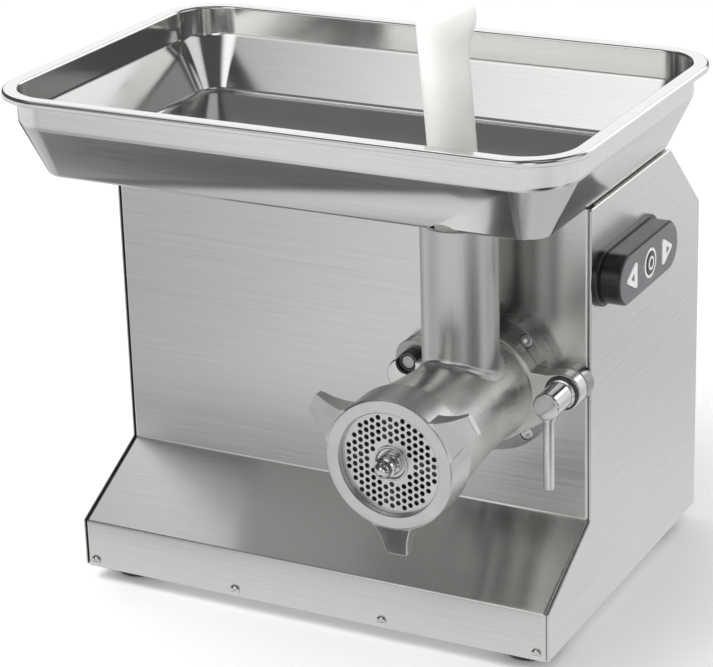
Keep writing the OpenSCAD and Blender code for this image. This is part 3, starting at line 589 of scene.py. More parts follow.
STAINLESS = brushed_steel("casing_steel", (0.66, 0.655, 0.645), 0.20)
SIDE_STEEL = brushed_steel("side_steel", (0.64, 0.635, 0.625), 0.24, "Y")
# the tray's down-facing faces get painted shade, at 0.7 of the colour
TRAY_STEEL = brushed_steel("tray_steel", (0.72, 0.72, 0.71), 0.13, "X", 0.6, 0.0001, 0.7)
CAST_STEEL = cast_metal("cast_steel", (0.68, 0.675, 0.66), 0.30)
NECK_STEEL = brushed_steel("neck_steel", (0.55, 0.545, 0.535), 0.30, "Z", 0.5, 0.00002)
RING_STEEL = cast_metal("ring_steel", (0.62, 0.62, 0.61), 0.34)
HUB_STEEL = turned_steel("hub_steel", (0.36, 0.357, 0.35), 0.26)
PLATE_STEEL = turned_steel("plate_steel", (0.62, 0.62, 0.61), 0.26)
CHROME = turned_steel("chrome", (0.62, 0.62, 0.62), 0.10, "Y", 0.0, 500.0)
DARK_STEEL = turned_steel("dark_steel", (0.10, 0.10, 0.105), 0.32)
GEAR_STEEL = turned_steel("gear_steel", (0.42, 0.42, 0.43), 0.30)
SCREW_STEEL = turned_steel("screw_steel", (0.68, 0.67, 0.66), 0.20)
CAST_ALUMINIUM = cast_metal("cast_aluminium", (0.60, 0.60, 0.60), 0.45)
BRONZE = turned_steel("bronze", (0.62, 0.42, 0.20), 0.30)
COPPER = cast_metal("copper_windings", (0.60, 0.26, 0.11), 0.35, 0.0001)
RUBBER = plastic("rubber", (0.022, 0.022, 0.023), 0.72, 900.0, 0.00003)
BLACK_PLASTIC = plastic("black_plastic", (0.010, 0.010, 0.011), 0.30)
GREY_PLASTIC = plastic("grey_plastic", (0.15, 0.155, 0.165), 0.42, 1800.0)
WHITE_PLASTIC = plastic("white_plastic", (0.80, 0.80, 0.78), 0.35)
CREAM_PLASTIC = plastic("cream_plastic", (0.62, 0.58, 0.46), 0.45)
GLOSS_BLACK = plastic("gloss_black", (0.012, 0.012, 0.013), 0.22)
MILKY_PLASTIC = plastic("milky_plastic", (0.86, 0.86, 0.84), 0.40, 700.0, 0.00002, 0.6)
WIRE_COAT = plastic("wire_coat", (0.20, 0.10, 0.05), 0.45)

BY_SLOT = {
    "stainless": STAINLESS, "tray_steel": TRAY_STEEL, "cast_steel": CAST_STEEL, "ring_steel": RING_STEEL,
    "plate_steel": PLATE_STEEL, "chrome": CHROME, "dark_steel": DARK_STEEL, "gear_steel": GEAR_STEEL,
    "bearing_steel": CHROME, "cast_aluminium": CAST_ALUMINIUM, "screw_steel": SCREW_STEEL,
    "rubber": RUBBER, "seal_rubber": RUBBER, "copper": COPPER, "bronze": BRONZE,
    "black_plastic": BLACK_PLASTIC, "grey_plastic": GREY_PLASTIC, "white_plastic": WHITE_PLASTIC,
    "button_black": GLOSS_BLACK, "milky_plastic": MILKY_PLASTIC, "electrics": CREAM_PLASTIC,
    "wire": WIRE_COAT,
}


def dress_cad_nodes():
    """Gives every CAD node the finish of its record slot."""
    for part in frame["record"]["subparts"]:
        node = frame["nodes"][part["node"]]
        for holder in node.material_slots:
            holder.material = BY_SLOT[part["material_slot"]]


# ---- casing -----------------------------------------------------------

CASE_GAP = 0.8
INNER_HALF = HALF_W - SHEET - CASE_GAP
UNDER = SHEET + 0.1
HUB_R = 44.0
SCREW_PITCH = 126.7
SCREW_UP = 5.5
EDGE_R = 3.0


def front_sheet():
    path = [(-APRON_D, 0), (-APRON_D, APRON_H), (0, SLOPE_H), (0, CASING_H)]
    hole = loft([[(x, y, z) for x, y in circle(HUB_R + 0.2, 64)] for z in (-8, 4)])
    to_casing = CASING.inverted() @ ON_AXIS
    cutter = Shape().add(hole, to_casing)
    piece("front_sheet", bent_sheet(path, INNER_HALF + 0.4, 2.6, EDGE_R, 7), CASING, STAINLESS, "casing",
          ["front_panel"], [cutter])


def side_shape(holes=()):
    """One side panel seen from outside: local x is depth, y is height, z outward."""
    outline = [(-APRON_D, 0), (CASING_D, 0), (CASING_D, REAR_H), (TOP_D, CASING_H), (0, CASING_H),
               (0, SLOPE_H), (-APRON_D, APRON_H)]
    shape = prism(fillet(outline, [1.5, 1.5, 3, 3, 2, 2, 2]), -SHEET, 0, 0.15, 1.2, holes, 4)
    path = [(FOLD, CASING_H), (TOP_D, CASING_H), (CASING_D, REAR_H), (CASING_D, 0)]
    fold = Shape()
    rows = []
    for depth in (0, SHEET):
        line = fillet(moved(path, depth, closed=False), [0, max(3 - depth, 0.3), max(3 - depth, 0.3), 0], 4,
                      closed=False)
        rows.append([fold.ring([(u, v, z) for u, v in line]) for z in (-SHEET, -FOLD)])
    (a, b), (c, d) = rows
    for first, second in ((a, b), (b, d), (d, c), (c, a)):
        fold.bridge(first, second, closed=False)
    fold.faces.append((c[0], d[0], b[0], a[0]))
    fold.faces.append((a[-1], b[-1], d[-1], c[-1]))
    return shape.add(fold)


def mirrored(shape):
    """The shape mirrored in its local z, for the other side of the casing."""
    made = Shape()
    made.verts = [(x, y, -z) for x, y, z in shape.verts]
    made.faces = [face[::-1] for face in shape.faces]
    return made


switch_lo, switch_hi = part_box("switch_housing")
SWITCH_Y = (switch_lo.y + switch_hi.y) / 2
SWITCH_Z = (switch_lo.z + switch_hi.z) / 2
SWITCH_L = (switch_hi.y - switch_lo.y) / MM
SWITCH_H = (switch_hi.z - switch_lo.z) / MM


def side_panels():
    at_switch = [(x + (SWITCH_Y - PANEL_Y) / MM, y + (SWITCH_Z - BASE_Z) / MM) for x, y in stadium(97, 33)]
    right = facing_right(right_hi.x, PANEL_Y, BASE_Z)
    left = facing_right(left_lo.x, PANEL_Y, BASE_Z)
    piece("right_side_sheet", side_shape([at_switch]), right, SIDE_STEEL, "casing",
          ["side_panel_right"])
    piece("left_side_sheet", mirrored(side_shape()), left, SIDE_STEEL, "casing",
          ["side_panel_left"])


LOUVRE_W = 72.0
LOUVRE_ROWS = 9
LOUVRE_Z0 = 110.0
LOUVRE_STEP = 15.0
LOUVRE_X = (-42.0, 42.0)


def louvre_hood():
    """Pressed hood over one slot: local x across, y outward and z up from the slot's lower edge."""
    across, down, reach, skin = 28, 8, 3.8, 0.9
    half, top = LOUVRE_W / 2 + 3, 9.5
    layers = []
    shape = Shape()
    for inset in (0, skin):
        rows = []
        for j in range(down + 1):
            v = j / down
            line = []
            for i in range(across + 1):
                u = math.sin(math.pi * (i / across - 0.5))
                bulge = math.sin(v * math.pi / 2) ** 0.8 * (1 - abs(u) ** 8) ** 0.5
                line.append((u * half, reach * bulge - inset, top - v * (top + 1)))
            rows.append(shape.ring(line))
        layers.append(rows)
    outer, inner = layers
    for j in range(down):
        shape.bridge(outer[j + 1], outer[j], closed=False)
        shape.bridge(inner[j], inner[j + 1], closed=False)
    shape.bridge(inner[0], outer[0], closed=False)
    shape.bridge(outer[-1], inner[-1], closed=False)
    left, right = ([[row[k] for row in layer] for layer in layers] for k in (0, -1))
    shape.bridge(*left, closed=False)
    shape.bridge(*reversed(right), closed=False)
    return shape


def rear_sheet():
    rise = (CASING_H - REAR_H) / (CASING_D - TOP_D)
    path = [(TOP_D + 32, CASING_H - UNDER - 32 * rise), (CASING_D - UNDER, REAR_H - 0.7),
            (CASING_D - UNDER, 0)]
    slots, hoods = Shape(), Shape()
    for x in LOUVRE_X:
        for i in range(LOUVRE_ROWS):
            z = LOUVRE_Z0 + LOUVRE_STEP * i
            slots.add(block((LOUVRE_W, 12, 5), (x, CASING_D, z + 2.5)))
            hoods.add(louvre_hood(), Matrix.Translation((x, CASING_D - UNDER, z)))
    piece("rear_sheet", bent_sheet(path, INNER_HALF, 2.5), CASING, STAINLESS, "casing",
          ["rear_panel"], [slots])
    piece("louvre_hoods", hoods, CASING, STAINLESS, "casing", soften=50)


def slotted_screws(name, places, spin, finish, head, matrix, stands_for):
    """Dome-headed screws with a sawn slot, each turned its own way."""
    screws, slots = Shape(), Shape()
    radius, height = head
    dome = [(0, -9), (1.5, -9), (1.5, 0), (radius, 0), (radius, height * 0.3)]
    dome += [(radius * math.cos(math.radians(a)), height * (0.3 + 0.7 * math.sin(math.radians(a))))
             for a in range(15, 90, 15)] + [(0, height)]
    for place in places:
        turn = Matrix.Translation(place) @ spin @ Matrix.Rotation(random.uniform(0, math.pi), 4, "Z")
        screws.add(turned(dome, 0.15, 32, 2), turn)
        slots.add(block((2.2 * radius, 0.9, 3), (0, 0, height + 0.35)), turn)
    piece(name, screws, matrix, finish, "casing", stands_for, [slots])


def casing_screws():
    to_front = Matrix.Rotation(math.radians(90), 4, "X")
    to_back = Matrix.Rotation(math.radians(-90), 4, "X")
    apron = [((i - 1.5) * SCREW_PITCH, -APRON_D, SCREW_UP) for i in range(4)]
    rear = [(side * (HALF_W - 7), CASING_D, z) for side in (-1, 1) for z in (26, 132, 244)]
    slotted_screws("apron_screw_heads", apron, to_front, SCREW_STEEL, (4.0, 2.6), CASING, ["apron_screws"])
    slotted_screws("rear_screw_heads", rear, to_back, SCREW_STEEL, (3.6, 1.6), CASING, ["rear_screws"])


def rubber_feet():
    lo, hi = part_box("feet")
    r, h = 20.0, (hi.z - lo.z) / MM
    profile = [(3, 0), (3, 5 - h), (8, 5 - h), (8, -h), (r - 6, -h), (r - 6.8, 1 - h), (r - 5.4, 1 - h),
               (r - 4.6, -h), (r - 3, -h), (r - 2, 1 - h), (r - 0.6, -5), (r - 1.4, -4.4), (r - 0.4, -3.6),
               (r, -2), (r, 0)]
    feet = Shape()
    for x in (lo.x / MM + r, hi.x / MM - r):
        for y in (lo.y / MM + r, hi.y / MM - r):
            feet.add(turned(profile, 0.5, 72, closed=True), Matrix.Translation((x, y, hi.z / MM)))
    piece("rubber_feet", feet, Matrix.Scale(MM, 4), RUBBER, "casing", ["feet"])


# ---- hub and head -----------------------------------------------------

PIN_AT = (-61.5, 9.0)
LOBE_AT = (-63.5, -1.0)
CLAMP_AT = (65.0, 7.0)
FLANGE_F = 12.0
HUB_PLATE_R = 54
HUB_EAR_R = 14.5
BOLT_RING_R = 47.8
HUB_BOLTS = [(BOLT_RING_R * math.cos(math.radians(a)), BOLT_RING_R * math.sin(math.radians(a)))
             for a in (50, 130, 230, 310)]


def hub_plate():
    holes = [circle(30.1, 72)] + [circle(5.3, 32, x, y) for x, y in HUB_BOLTS]
    shape = prism(eared(HUB_PLATE_R, [PIN_AT, CLAMP_AT], HUB_EAR_R), 0, FLANGE_F, 0.3, 0.5, holes,
                  hole_edge=0.15)
    shape.add(turned([(30.1, 0.3), (30.1, -2), (24, -2), (24, -11), (20, -11), (20, -14), (27.5, -14),
                      (27.5, -28), (33, -28), (33, -9.5), (HUB_R, -9.5), (HUB_R, 0.3)], 0.3, 72,
                     closed=True))
    for x, y in HUB_BOLTS:
        shape.add(turned([(0, 6), (0, 4), (5.4, 4), (5.4, 6)], 0, 32), Matrix.Translation((x, y, 0)))
    piece("hub_plate", shape, ON_AXIS, HUB_STEEL, "casing", ["hub_flange"])


def hub_bolt_heads():
    bolts, sockets = Shape(), Shape()
    for x, y in HUB_BOLTS:
        at = Matrix.Translation((x, y, 6.2))
        bolts.add(turned([(0, 0), (5, 0), (5, 5.4), (0, 5.4)], 0.6, 40), at)
        sockets.add(loft([[(u, v, z) for u, v in circle(2.4, 6)] for z in (2.6, 7)]), at)
    piece("hub_bolt_heads", bolts, ON_AXIS, SCREW_STEEL, "casing", ["hub_bolts"], [sockets])


def locating_pin():
    profile = [(0, 3), (6, 3), (6, FLANGE_F), (8, FLANGE_F), (8, 21), (5.6, 21), (5.2, 20), (0, 20)]
    radii = [0, 0.3, 0.3, 0.3, 1.2, 0.4, 0.3, 0]
    at = ON_AXIS @ Matrix.Translation((*PIN_AT, 0))
    piece("pin_collar", turned(profile, radii, 64, 5), at, DARK_STEEL, "casing",
          ["locating_pin"])
    core = [(0, 19.6), (4.9, 19.6), (4.9, 20.5), (0, 20.9)]
    piece("pin_core", turned(core, 0.3, 64), at, GEAR_STEEL, "casing")


BARREL_OUT = [(43.5, 12), (43.5, 22), (40.6, 25), (39.8, 40), (39.6, 60), (40.2, 80), (41.6, 100),
              (43.6, 120), (45.2, 134), (46, 143), (44, 143.5), (44, 170)]
BARREL_IN = [(41.15, 170), (41.15, 150), (26, 150), (26, 20), (14.04, 20), (14.04, -1.4), (30, -1.4),
             (30, 12)]
HEAD_FLANGE_R = 43.4
HEAD_EAR_R = 14
HEAD_FLANGE_F = 25
NECK_R = 28.1
NECK_BORE = 26.0


def barrel_radius(f):
    for (r0, f0), (r1, f1) in zip(BARREL_OUT[1:], BARREL_OUT[2:]):
        if f0 <= f <= f1:
            return r0 + (r1 - r0) * (f - f0) / (f1 - f0)
    return BARREL_OUT[0][0]


def barrel():
    radii = [0.5, 1.5, 6, 30, 60, 60, 60, 60, 30, 1.2, 0.4, 0.8]
    profile = fillet(BARREL_OUT + BARREL_IN, radii + [0.5] * len(BARREL_IN), 4)
    shape = lathe(profile, 128, closed=True)
    throat = loft([[(x, z, NECK_F - y) for x, y in circle(NECK_BORE, 64)] for z in (0, 80)])
    piece("barrel", shape, ON_AXIS, CAST_STEEL, "head", ["head_barrel"], [throat])
    holes = [circle(39, 96), circle(5.1, 32, *CLAMP_AT)]
    outline = eared(HEAD_FLANGE_R, [LOBE_AT, CLAMP_AT], HEAD_EAR_R, CLAMP_AT)
    ears = prism(outline, FLANGE_F, HEAD_FLANGE_F, 0.6, 1.4, holes, 4)
    notch = loft([[(x, y, z) for x, y in circle(8.3, 64, *PIN_AT)] for z in (5, 30)])
    piece("barrel_ears", ears, ON_AXIS, CAST_STEEL, "head", (), [notch])


def neck():
    """Tube whose foot follows the barrel's skin, with a rounded weld; local z up from the drive axis."""
    top = (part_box("feed_neck")[1].z - AXIS_Z) / MM
    n, shape = 96, Shape()

    def at(r, rise):
        """Ring of radius r that sits rise above the barrel's skin."""
        ring = []
        for x, y in circle(r, n):
            skin = barrel_radius(NECK_F - y)
            ring.append((x, y, math.sqrt(max(skin * skin - x * x, 1)) + rise))
        return ring

    foot = [(NECK_R + 3.4, -0.6), (NECK_R + 3.2, 0.1), (NECK_R + 2.1, 0.5), (NECK_R + 1.1, 1.3),
            (NECK_R + 0.45, 2.4), (NECK_R + 0.1, 3.6), (NECK_R, 5)]
    rings = [at(NECK_BORE, -4)] + [at(r, rise) for r, rise in foot]
    rings += [[(x, y, z) for x, y in circle(r, n)] for r, z in
              ((NECK_R, top - 30), (NECK_R, top - 0.6), (NECK_R - 0.6, top), (NECK_BORE + 0.5, top),
               (NECK_BORE, top - 0.5))]
    made = [shape.ring(r) for r in rings]
    for a, b in zip(made, made[1:] + made[:1]):
        shape.bridge(a, b)
    matrix = Matrix.Translation((AXIS_X, PANEL_Y - NECK_F * MM, AXIS_Z)) @ Matrix.Scale(MM, 4)
    piece("neck_tube", shape, matrix, NECK_STEEL, "head", ["feed_neck"])


RING_F = 177.4
RING_R = 48.4
LUG_ANGLES = (31, 151, 271)


def lug():
    """One lug along local x, thinner and narrower towards its tip, its front face leaning back."""
    rings = []
    stations = [(41, 17.5, 160.4, 177.0), (46.5, 15.2, 160.4, 176.9), (49, 13.6, 160.5, 176.0),
                (53, 11.8, 160.8, 174.6), (60, 9.6, 161.6, 172.6), (67, 8.5, 162.4, 170.8),
                (70.2, 8.0, 162.9, 170.0), (71, 7.0, 163.8, 169.2)]
    for x, half, back, front in stations:
        outline = rounded_rect(2 * half, front - back, 0.9, 4)
        middle = (front + back) / 2
        rings.append([(x, u, middle + v) for u, v in outline])
    return loft(rings)


def ring_nut():
    profile = [(RING_R, RING_F - 32), (RING_R, RING_F), (38.3, RING_F), (38.3, RING_F - 5),
               (44.3, RING_F - 5), (44.3, RING_F - 32)]
    shape = turned(profile, [1.5, 1.8, 1.0, 0.3, 0.5, 0.8], 128, 5, closed=True)
    for angle in LUG_ANGLES:
        shape.add(lug(), Matrix.Rotation(math.radians(angle), 4, "Z"))
    piece("lugged_ring", shape, ON_AXIS, RING_STEEL, "ring", ["ring_nut"])


PLATE_F = 164.2
PLATE_T = 8.0
PITCH = 5.4
HOLE_R = 1.8
FIELD_IN, FIELD_OUT = 13.7, 36.4


def hole_plate():
    rows = math.ceil(FIELD_OUT / (PITCH * math.sin(math.radians(60))))
    holes = []
    for j in range(-rows, rows + 1):
        for i in range(-rows, rows + 1):
            x, y = PITCH * math.sin(math.radians(60)) * j, PITCH * (i + (j % 2) / 2)
            if math.hypot(x, y) - HOLE_R > FIELD_IN and math.hypot(x, y) + HOLE_R < FIELD_OUT:
                holes.append(circle(HOLE_R, 18, x, y))
    top = PLATE_F + PLATE_T
    shape = prism(circle(40.9, 128), PLATE_F, top, 0.4, 0.4, holes + [circle(8.3, 64)], 2)
    boss = [(8.3, top - 0.5), (12.8, top - 0.5), (12.8, top + 1.6), (11.6, top + 1.6), (10.4, top - 0.2),
            (8.3, top - 0.2)]
    shape.add(turned(boss, 0.35, 96, closed=True))
    piece("drilled_plate", shape, ON_AXIS, PLATE_STEEL, "plate", ["hole_plate"])


def stud():
    profile = [(0, PLATE_F - 1), (8.2, PLATE_F - 1), (8.2, 176), (7.4, 177), (5.6, 177.6), (5.6, 179.6),
               (7.9, 180.2), (7.9, 182.4), (6.3, 183.4)]
    profile += [(6.1 * math.cos(math.radians(a)), STUD_END - 5.5 + 5.5 * math.sin(math.radians(a)))
                for a in range(10, 90, 10)] + [(0, STUD_END)]
    radii = [0, 0, 0.5, 0.4, 0.3, 0.3, 0.5, 0.5, 0.3] + [0] * 9
    shape = turned(profile, radii, 64, 3)
    piece("domed_stud", shape, ON_AXIS, CHROME, "auger", ["auger_stud"])


def worm():
    """Screw conveyor: a round core with one flight that winds 2.6 turns."""
    turns, z0, z1, steps, n = 2.6, 26.0, 150.0, 150, 64
    rings = []
    for k in range(steps + 1):
        z = z0 + (z1 - z0) * k / steps
        lead = -math.radians(360 * turns * k / steps)
        core = 11.5 + 2.0 * (1 - k / steps)
        ring = []
        for i in range(n):
            a = 2 * math.pi * i / n
            off = (a - lead + math.pi) % (2 * math.pi) - math.pi
            crest = 1 / (1 + (abs(off) / 0.42) ** 6)
            r = core + (25.4 - core) * crest
            ring.append((r * math.cos(a), r * math.sin(a), z))
        rings.append(ring)
    shape = loft(rings)
    shape.add(turned([(0, -2.2), (14, -2.2), (14, 23.6), (24.6, 23.6), (24.6, 28.6), (0, 28.6)], 0.6, 72))
    shape.add(block((14, 14, 23), (0, 0, -12.5)))
    shape.add(block((12, 12, 15), (0, 0, 156)))
    piece("worm", shape, ON_AXIS, CAST_STEEL, "auger", ["auger"], soften=50)


def clamp():
    at = ON_AXIS @ Matrix.Translation((*CLAMP_AT, 0))
    washer = [(5.2, 25.1), (13.2, 25.1), (13.2, 27), (12.7, 27.5), (5.2, 27.5)]
    piece("knob_washer", turned(washer, 0.3, 64, closed=True), at, DARK_STEEL, "clamp")
    knob = [(0, 25.3), (11.3, 25.3), (11.3, 29), (9.6, 29.6), (9.6, 31.2), (10.4, 31.8), (10.3, 56),
            (0, 56)]
    radii = [0, 0.5, 0.8, 0.2, 0.2, 0.5, 1.6, 0]
    piece("knob_body", turned(knob, radii, 64, 5), at, CHROME, "clamp", ["clamp_knob"])
    rod = [(0, -2), (4, -2), (4, 66), (0, 66)]
    down = Matrix.Translation((0, 0, 50)) @ Matrix.Rotation(math.radians(90), 4, "X")
    shape = Shape().add(turned(rod, [0, 0.3, 0.9, 0], 40, 4), down)
    shape.add(turned([(4, 9.6), (5.2, 9.9), (5.2, 12), (4, 12.4)], 0.4, 40, closed=True), down)
    piece("lever_rod", shape, at, SCREW_STEEL, "clamp", ["clamp_lever"])


# ---- tray and plunger -------------------------------------------------

tray_lo, tray_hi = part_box("tray")
TRAY_X = (tray_lo.x + tray_hi.x) / 2
TRAY_Y = (tray_lo.y + tray_hi.y) / 2
RIM_W = (tray_hi.x - tray_lo.x) / MM
RIM_D = (tray_hi.y - tray_lo.y) / MM
TRAY_H = (tray_hi.z - tray_lo.z) / MM
TRAY_T = 1.4
RIM_LIP = 11.0
FLARE = 19.0
FLARE_H = 44.0
RIM_CORNER = 50.0
FLOOR_CORNER = 20.0


def tray():
    """Pressed tray: each station is (inset from the rim, height), up the inside and down the outside."""
    wall_in = RIM_LIP + TRAY_T
    inside_run = [(wall_in + FLARE, TRAY_T), (wall_in, FLARE_H + 0.6), (wall_in, TRAY_H), (0, TRAY_H),
                  (0, TRAY_H - 5), (TRAY_T * 0.8, TRAY_H - 5), (TRAY_T * 0.8, TRAY_H - TRAY_T),
                  (RIM_LIP, TRAY_H - TRAY_T), (RIM_LIP, FLARE_H), (RIM_LIP + FLARE, 0)]
    radii = [0, 9, 2.2, 2.6, 0.5, 0.4, 1.2, 0.8, 9, 0]
    stations = fillet(inside_run, radii, 5, closed=False)
    floor_fillet = 6.0
    first = stations[0]
    inner_foot = [(first[0] + floor_fillet * (1 - math.sin(math.radians(a))) - 1.5,
                   first[1] + floor_fillet * (1 - math.cos(math.radians(a)))) for a in (0, 15, 30, 45, 60)]
    outer_foot = [(s[0] - 0.2, s[1] - TRAY_T) for s in reversed(inner_foot)]
    stations = inner_foot + stations[1:-1] + outer_foot
    shape = Shape()

    def outline(inset, height):
        w, d = RIM_W - 2 * inset, RIM_D - 2 * inset
        share = min(max(height / FLARE_H, 0), 1)
        low = FLOOR_CORNER + RIM_LIP + FLARE
        corner = low + (RIM_CORNER - low) * share - inset
        return rounded_rect(w, d, max(corner, 3), 14)

    rings = []
    for inset, height in stations:
        rings.append(shape.ring([(x, y, height) for x, y in outline(inset, height)]))
    for a, b in zip(rings, rings[1:]):
        shape.bridge(a, b)
    shape.fill([rings[0]], up=True)
    shape.fill([rings[-1]], up=False)
    hole_x = (AXIS_X - TRAY_X) / MM
    hole_y = (PANEL_Y - TRAY_Y) / MM - NECK_F
    mouth = loft([[(x, y, z) for x, y in circle(NECK_R + 0.35, 96, hole_x, hole_y)] for z in (-1, 30)])
    matrix = Matrix.Translation((TRAY_X, TRAY_Y, tray_lo.z)) @ Matrix.Scale(MM, 4)
    piece("feed_tray", shape, matrix, TRAY_STEEL, "tray", ["tray"], [mouth])


LEAN = 4.5
STICK_LOW = 78.0
STICK_L = 234.0
STICK_R = 17.5
HEAD_SHIFT = 4.2


def plunger():
    """Pusher: local z along its axis from the lower end; its head reaches out to one side."""
    stations = [(17, 0, 0.2), (18.3, 0, 0.9), (19, 0, 2.2), (19, 0, 21), (18.6, 0, 23),
                (STICK_R, 0, 26), (STICK_R, 0, STICK_L - 52), (STICK_R, 0, STICK_L - 40),
                (STICK_R + 0.3, 0.3, STICK_L - 33), (STICK_R + 1.1, 1.1, STICK_L - 27),
                (STICK_R + 2.2, 2.3, STICK_L - 21), (STICK_R + 3.1, 3.4, STICK_L - 16),
                (STICK_R + 3.6, 4.0, STICK_L - 12), (STICK_R + 3.7, HEAD_SHIFT, STICK_L - 8),
                (STICK_R + 3.3, HEAD_SHIFT, STICK_L - 4.4), (STICK_R + 2.0, HEAD_SHIFT, STICK_L - 1.8),
                (STICK_R - 0.5, HEAD_SHIFT, STICK_L - 0.5), (STICK_R - 4, HEAD_SHIFT, STICK_L)]
    shape = Shape()
    rings = []
    for r, shift, z in stations:
        rings.append(shape.ring([(x + shift, y, z) for x, y in circle(r, 96)]))
    for a, b in zip(rings, rings[1:]):
        shape.bridge(a, b)
    shape.fan(rings[0], (0, 0, 0), outward=False)
    shape.fan(rings[-1], (HEAD_SHIFT, 0, STICK_L), outward=True)
    pivot = Matrix.Translation((AXIS_X, PANEL_Y - NECK_F * MM, right_hi.z))
    lean = Matrix.Rotation(math.radians(-LEAN), 4, "Y")
    matrix = pivot @ lean @ Matrix.Scale(MM, 4) @ Matrix.Translation((0, 0, -STICK_LOW))
    piece("pusher", shape, matrix, MILKY_PLASTIC, "plunger", ["plunger"])


# ---- controls ---------------------------------------------------------

SWITCH_OUT = (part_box("switch_face")[1].x - right_hi.x) / MM
FACE_T = 1.5
BUTTON_AT = (-35.0, 0.0, 32.0)
STOP_R = 8.6
PROUD = 1.0
BUTTON_FOOT = -6.0
BUTTON_GAP = 0.4


def arrow(grow=0.0, size=1.0, shift=0.0):
    """Triangle with rounded corners that points to local -x."""
    tip, base, half = 13.0 * size, 8.0 * size, 11.5 * size
    corners = [(-tip - grow * 1.6 + shift, 0), (base + grow + shift, -half - grow * 1.3),
               (base + grow + shift, half + grow * 1.3)]
    return fillet(corners, max(2.2 * size, 0.3), 5)


def placed(outline, x, flip=False):
    """The outline moved to x along the housing, and turned half round if flip is set."""
    if flip:
        return [(x - u, -v) for u, v in outline]
    return [(x + u, v) for u, v in outline]


def switch_box():
    at = facing_right(right_hi.x, SWITCH_Y, SWITCH_Z)
    top = SWITCH_OUT - FACE_T
    openings = [placed(arrow(BUTTON_GAP), BUTTON_AT[0]), circle(STOP_R + BUTTON_GAP, 64, BUTTON_AT[1]),
                placed(arrow(BUTTON_GAP), BUTTON_AT[2], True)]
    shape = prism(stadium(SWITCH_L, SWITCH_H), 0, 4, 0.2, 1.4)
    shape.add(prism(stadium(SWITCH_L - 9.5, SWITCH_H - 4), 3, top, 0.2, 1.0, openings, 4))
    piece("switch_box", shape, at, BLACK_PLASTIC, "casing", ["switch_housing"])
    face = prism(stadium(SWITCH_L - 13, SWITCH_H - 7), top, SWITCH_OUT, 0.2, 0.7, openings)
    piece("switch_plate", face, at, GREY_PLASTIC, "casing", ["switch_face"])
    hole = circle(STOP_R + 0.5, 64)
    bezel = prism(circle(11.4, 64), SWITCH_OUT - 0.2, SWITCH_OUT + 0.5, 0.1, 0.3, [hole])
    piece("stop_bezel", bezel, at, WHITE_PLASTIC, "casing")


def buttons():
    at = facing_right(right_hi.x + SWITCH_OUT * MM, SWITCH_Y, SWITCH_Z)
    top = PROUD
    for name, x, flip in (("start", BUTTON_AT[0], False), ("reverse", BUTTON_AT[2], True)):
        body = f"{name}_button"
        key = prism(placed(arrow(), x, flip), BUTTON_FOOT, top, 0.2, 0.7)
        key.add(prism(circle(3.5, 32, x), -14, BUTTON_FOOT + 0.1, 0.2, 0.1))
        piece(f"{name}_key", key, at, WHITE_PLASTIC, body, [body])
        mark = prism(placed(arrow(0, 0.28, -1.0), x, flip), top - 0.3, top + 0.12, 0.05, 0.1)
        piece(f"{name}_mark", mark, at, GREY_PLASTIC, body)
    key = prism(circle(STOP_R, 72), BUTTON_FOOT, top, 0.2, 0.9)
    key.add(prism(circle(3.5, 32), -14, BUTTON_FOOT + 0.1, 0.2, 0.1))
    piece("stop_key", key, at, GLOSS_BLACK, "stop_button", ["stop_button"])
    mark = prism(circle(5.4, 48), top - 0.3, top + 0.12, 0.05, 0.1, [circle(3.5, 48)])
    piece("stop_mark", mark, at, WHITE_PLASTIC, "stop_button")


def cable_gland():
    lo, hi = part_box("cable_gland")
    x, z = (lo.x + hi.x) / 2, (lo.z + hi.z) / 2
    skin = right_hi.y - UNDER * MM
    at = Matrix.Translation((x, skin, z)) @ Matrix.Rotation(math.radians(-90), 4, "X") @ Matrix.Scale(MM, 4)
    shape = turned([(4, -16), (8, -16), (8, 15), (10.5, 15), (8.6, 19), (4, 19)], 0.5, 48, closed=True)
    for z0, z1 in ((-8, -3), (0, 6)):
        shape.add(prism(fillet(circle(12.6, 6), 1.0, 3), z0, z1, 0.6, 0.6, [circle(7.9, 48)]))
    turns = [2 * math.pi * k / 192 for k in range(192)]
    ribs = [((10.3 + 0.4 * math.cos(24 * a)) * math.cos(a), (10.3 + 0.4 * math.cos(24 * a)) * math.sin(a))
            for a in turns]
    shape.add(prism(ribs, 5.9, 15.2, 0.1, 0.25, [circle(7.9, 48)]))
    piece("gland_body", shape, at, BLACK_PLASTIC, "casing", ["cable_gland"])


# ---- studio -----------------------------------------------------------


def camera():
    """Stands where the product picture was taken from, with a long lens."""
    data = bpy.data.cameras.new("camera")
    data.sensor_width = 36
    data.lens = 131.58
    data.shift_x, data.shift_y = 0.00648, -0.04794
    data.clip_start, data.clip_end = 0.05, 60
    yaw, pitch, roll = 0.488425, 0.356586, -0.0310775
    ahead = Vector((-math.sin(yaw) * math.cos(pitch), math.cos(yaw) * math.cos(pitch), -math.sin(pitch)))
    right = Vector((math.cos(yaw), math.sin(yaw), 0))
    up = right.cross(ahead)
    turn = Matrix.Rotation(-roll, 3, ahead)
    right, up = turn @ right, turn @ up
    thing = bpy.data.objects.new("camera", data)
    basis = Matrix((right, up, -ahead)).transposed().to_4x4()
    thing.matrix_world = Matrix.Translation((0.87999, -1.65694, 0.92804)) @ basis
    bpy.context.scene.collection.objects.link(thing)
    bpy.context.scene.camera = thing
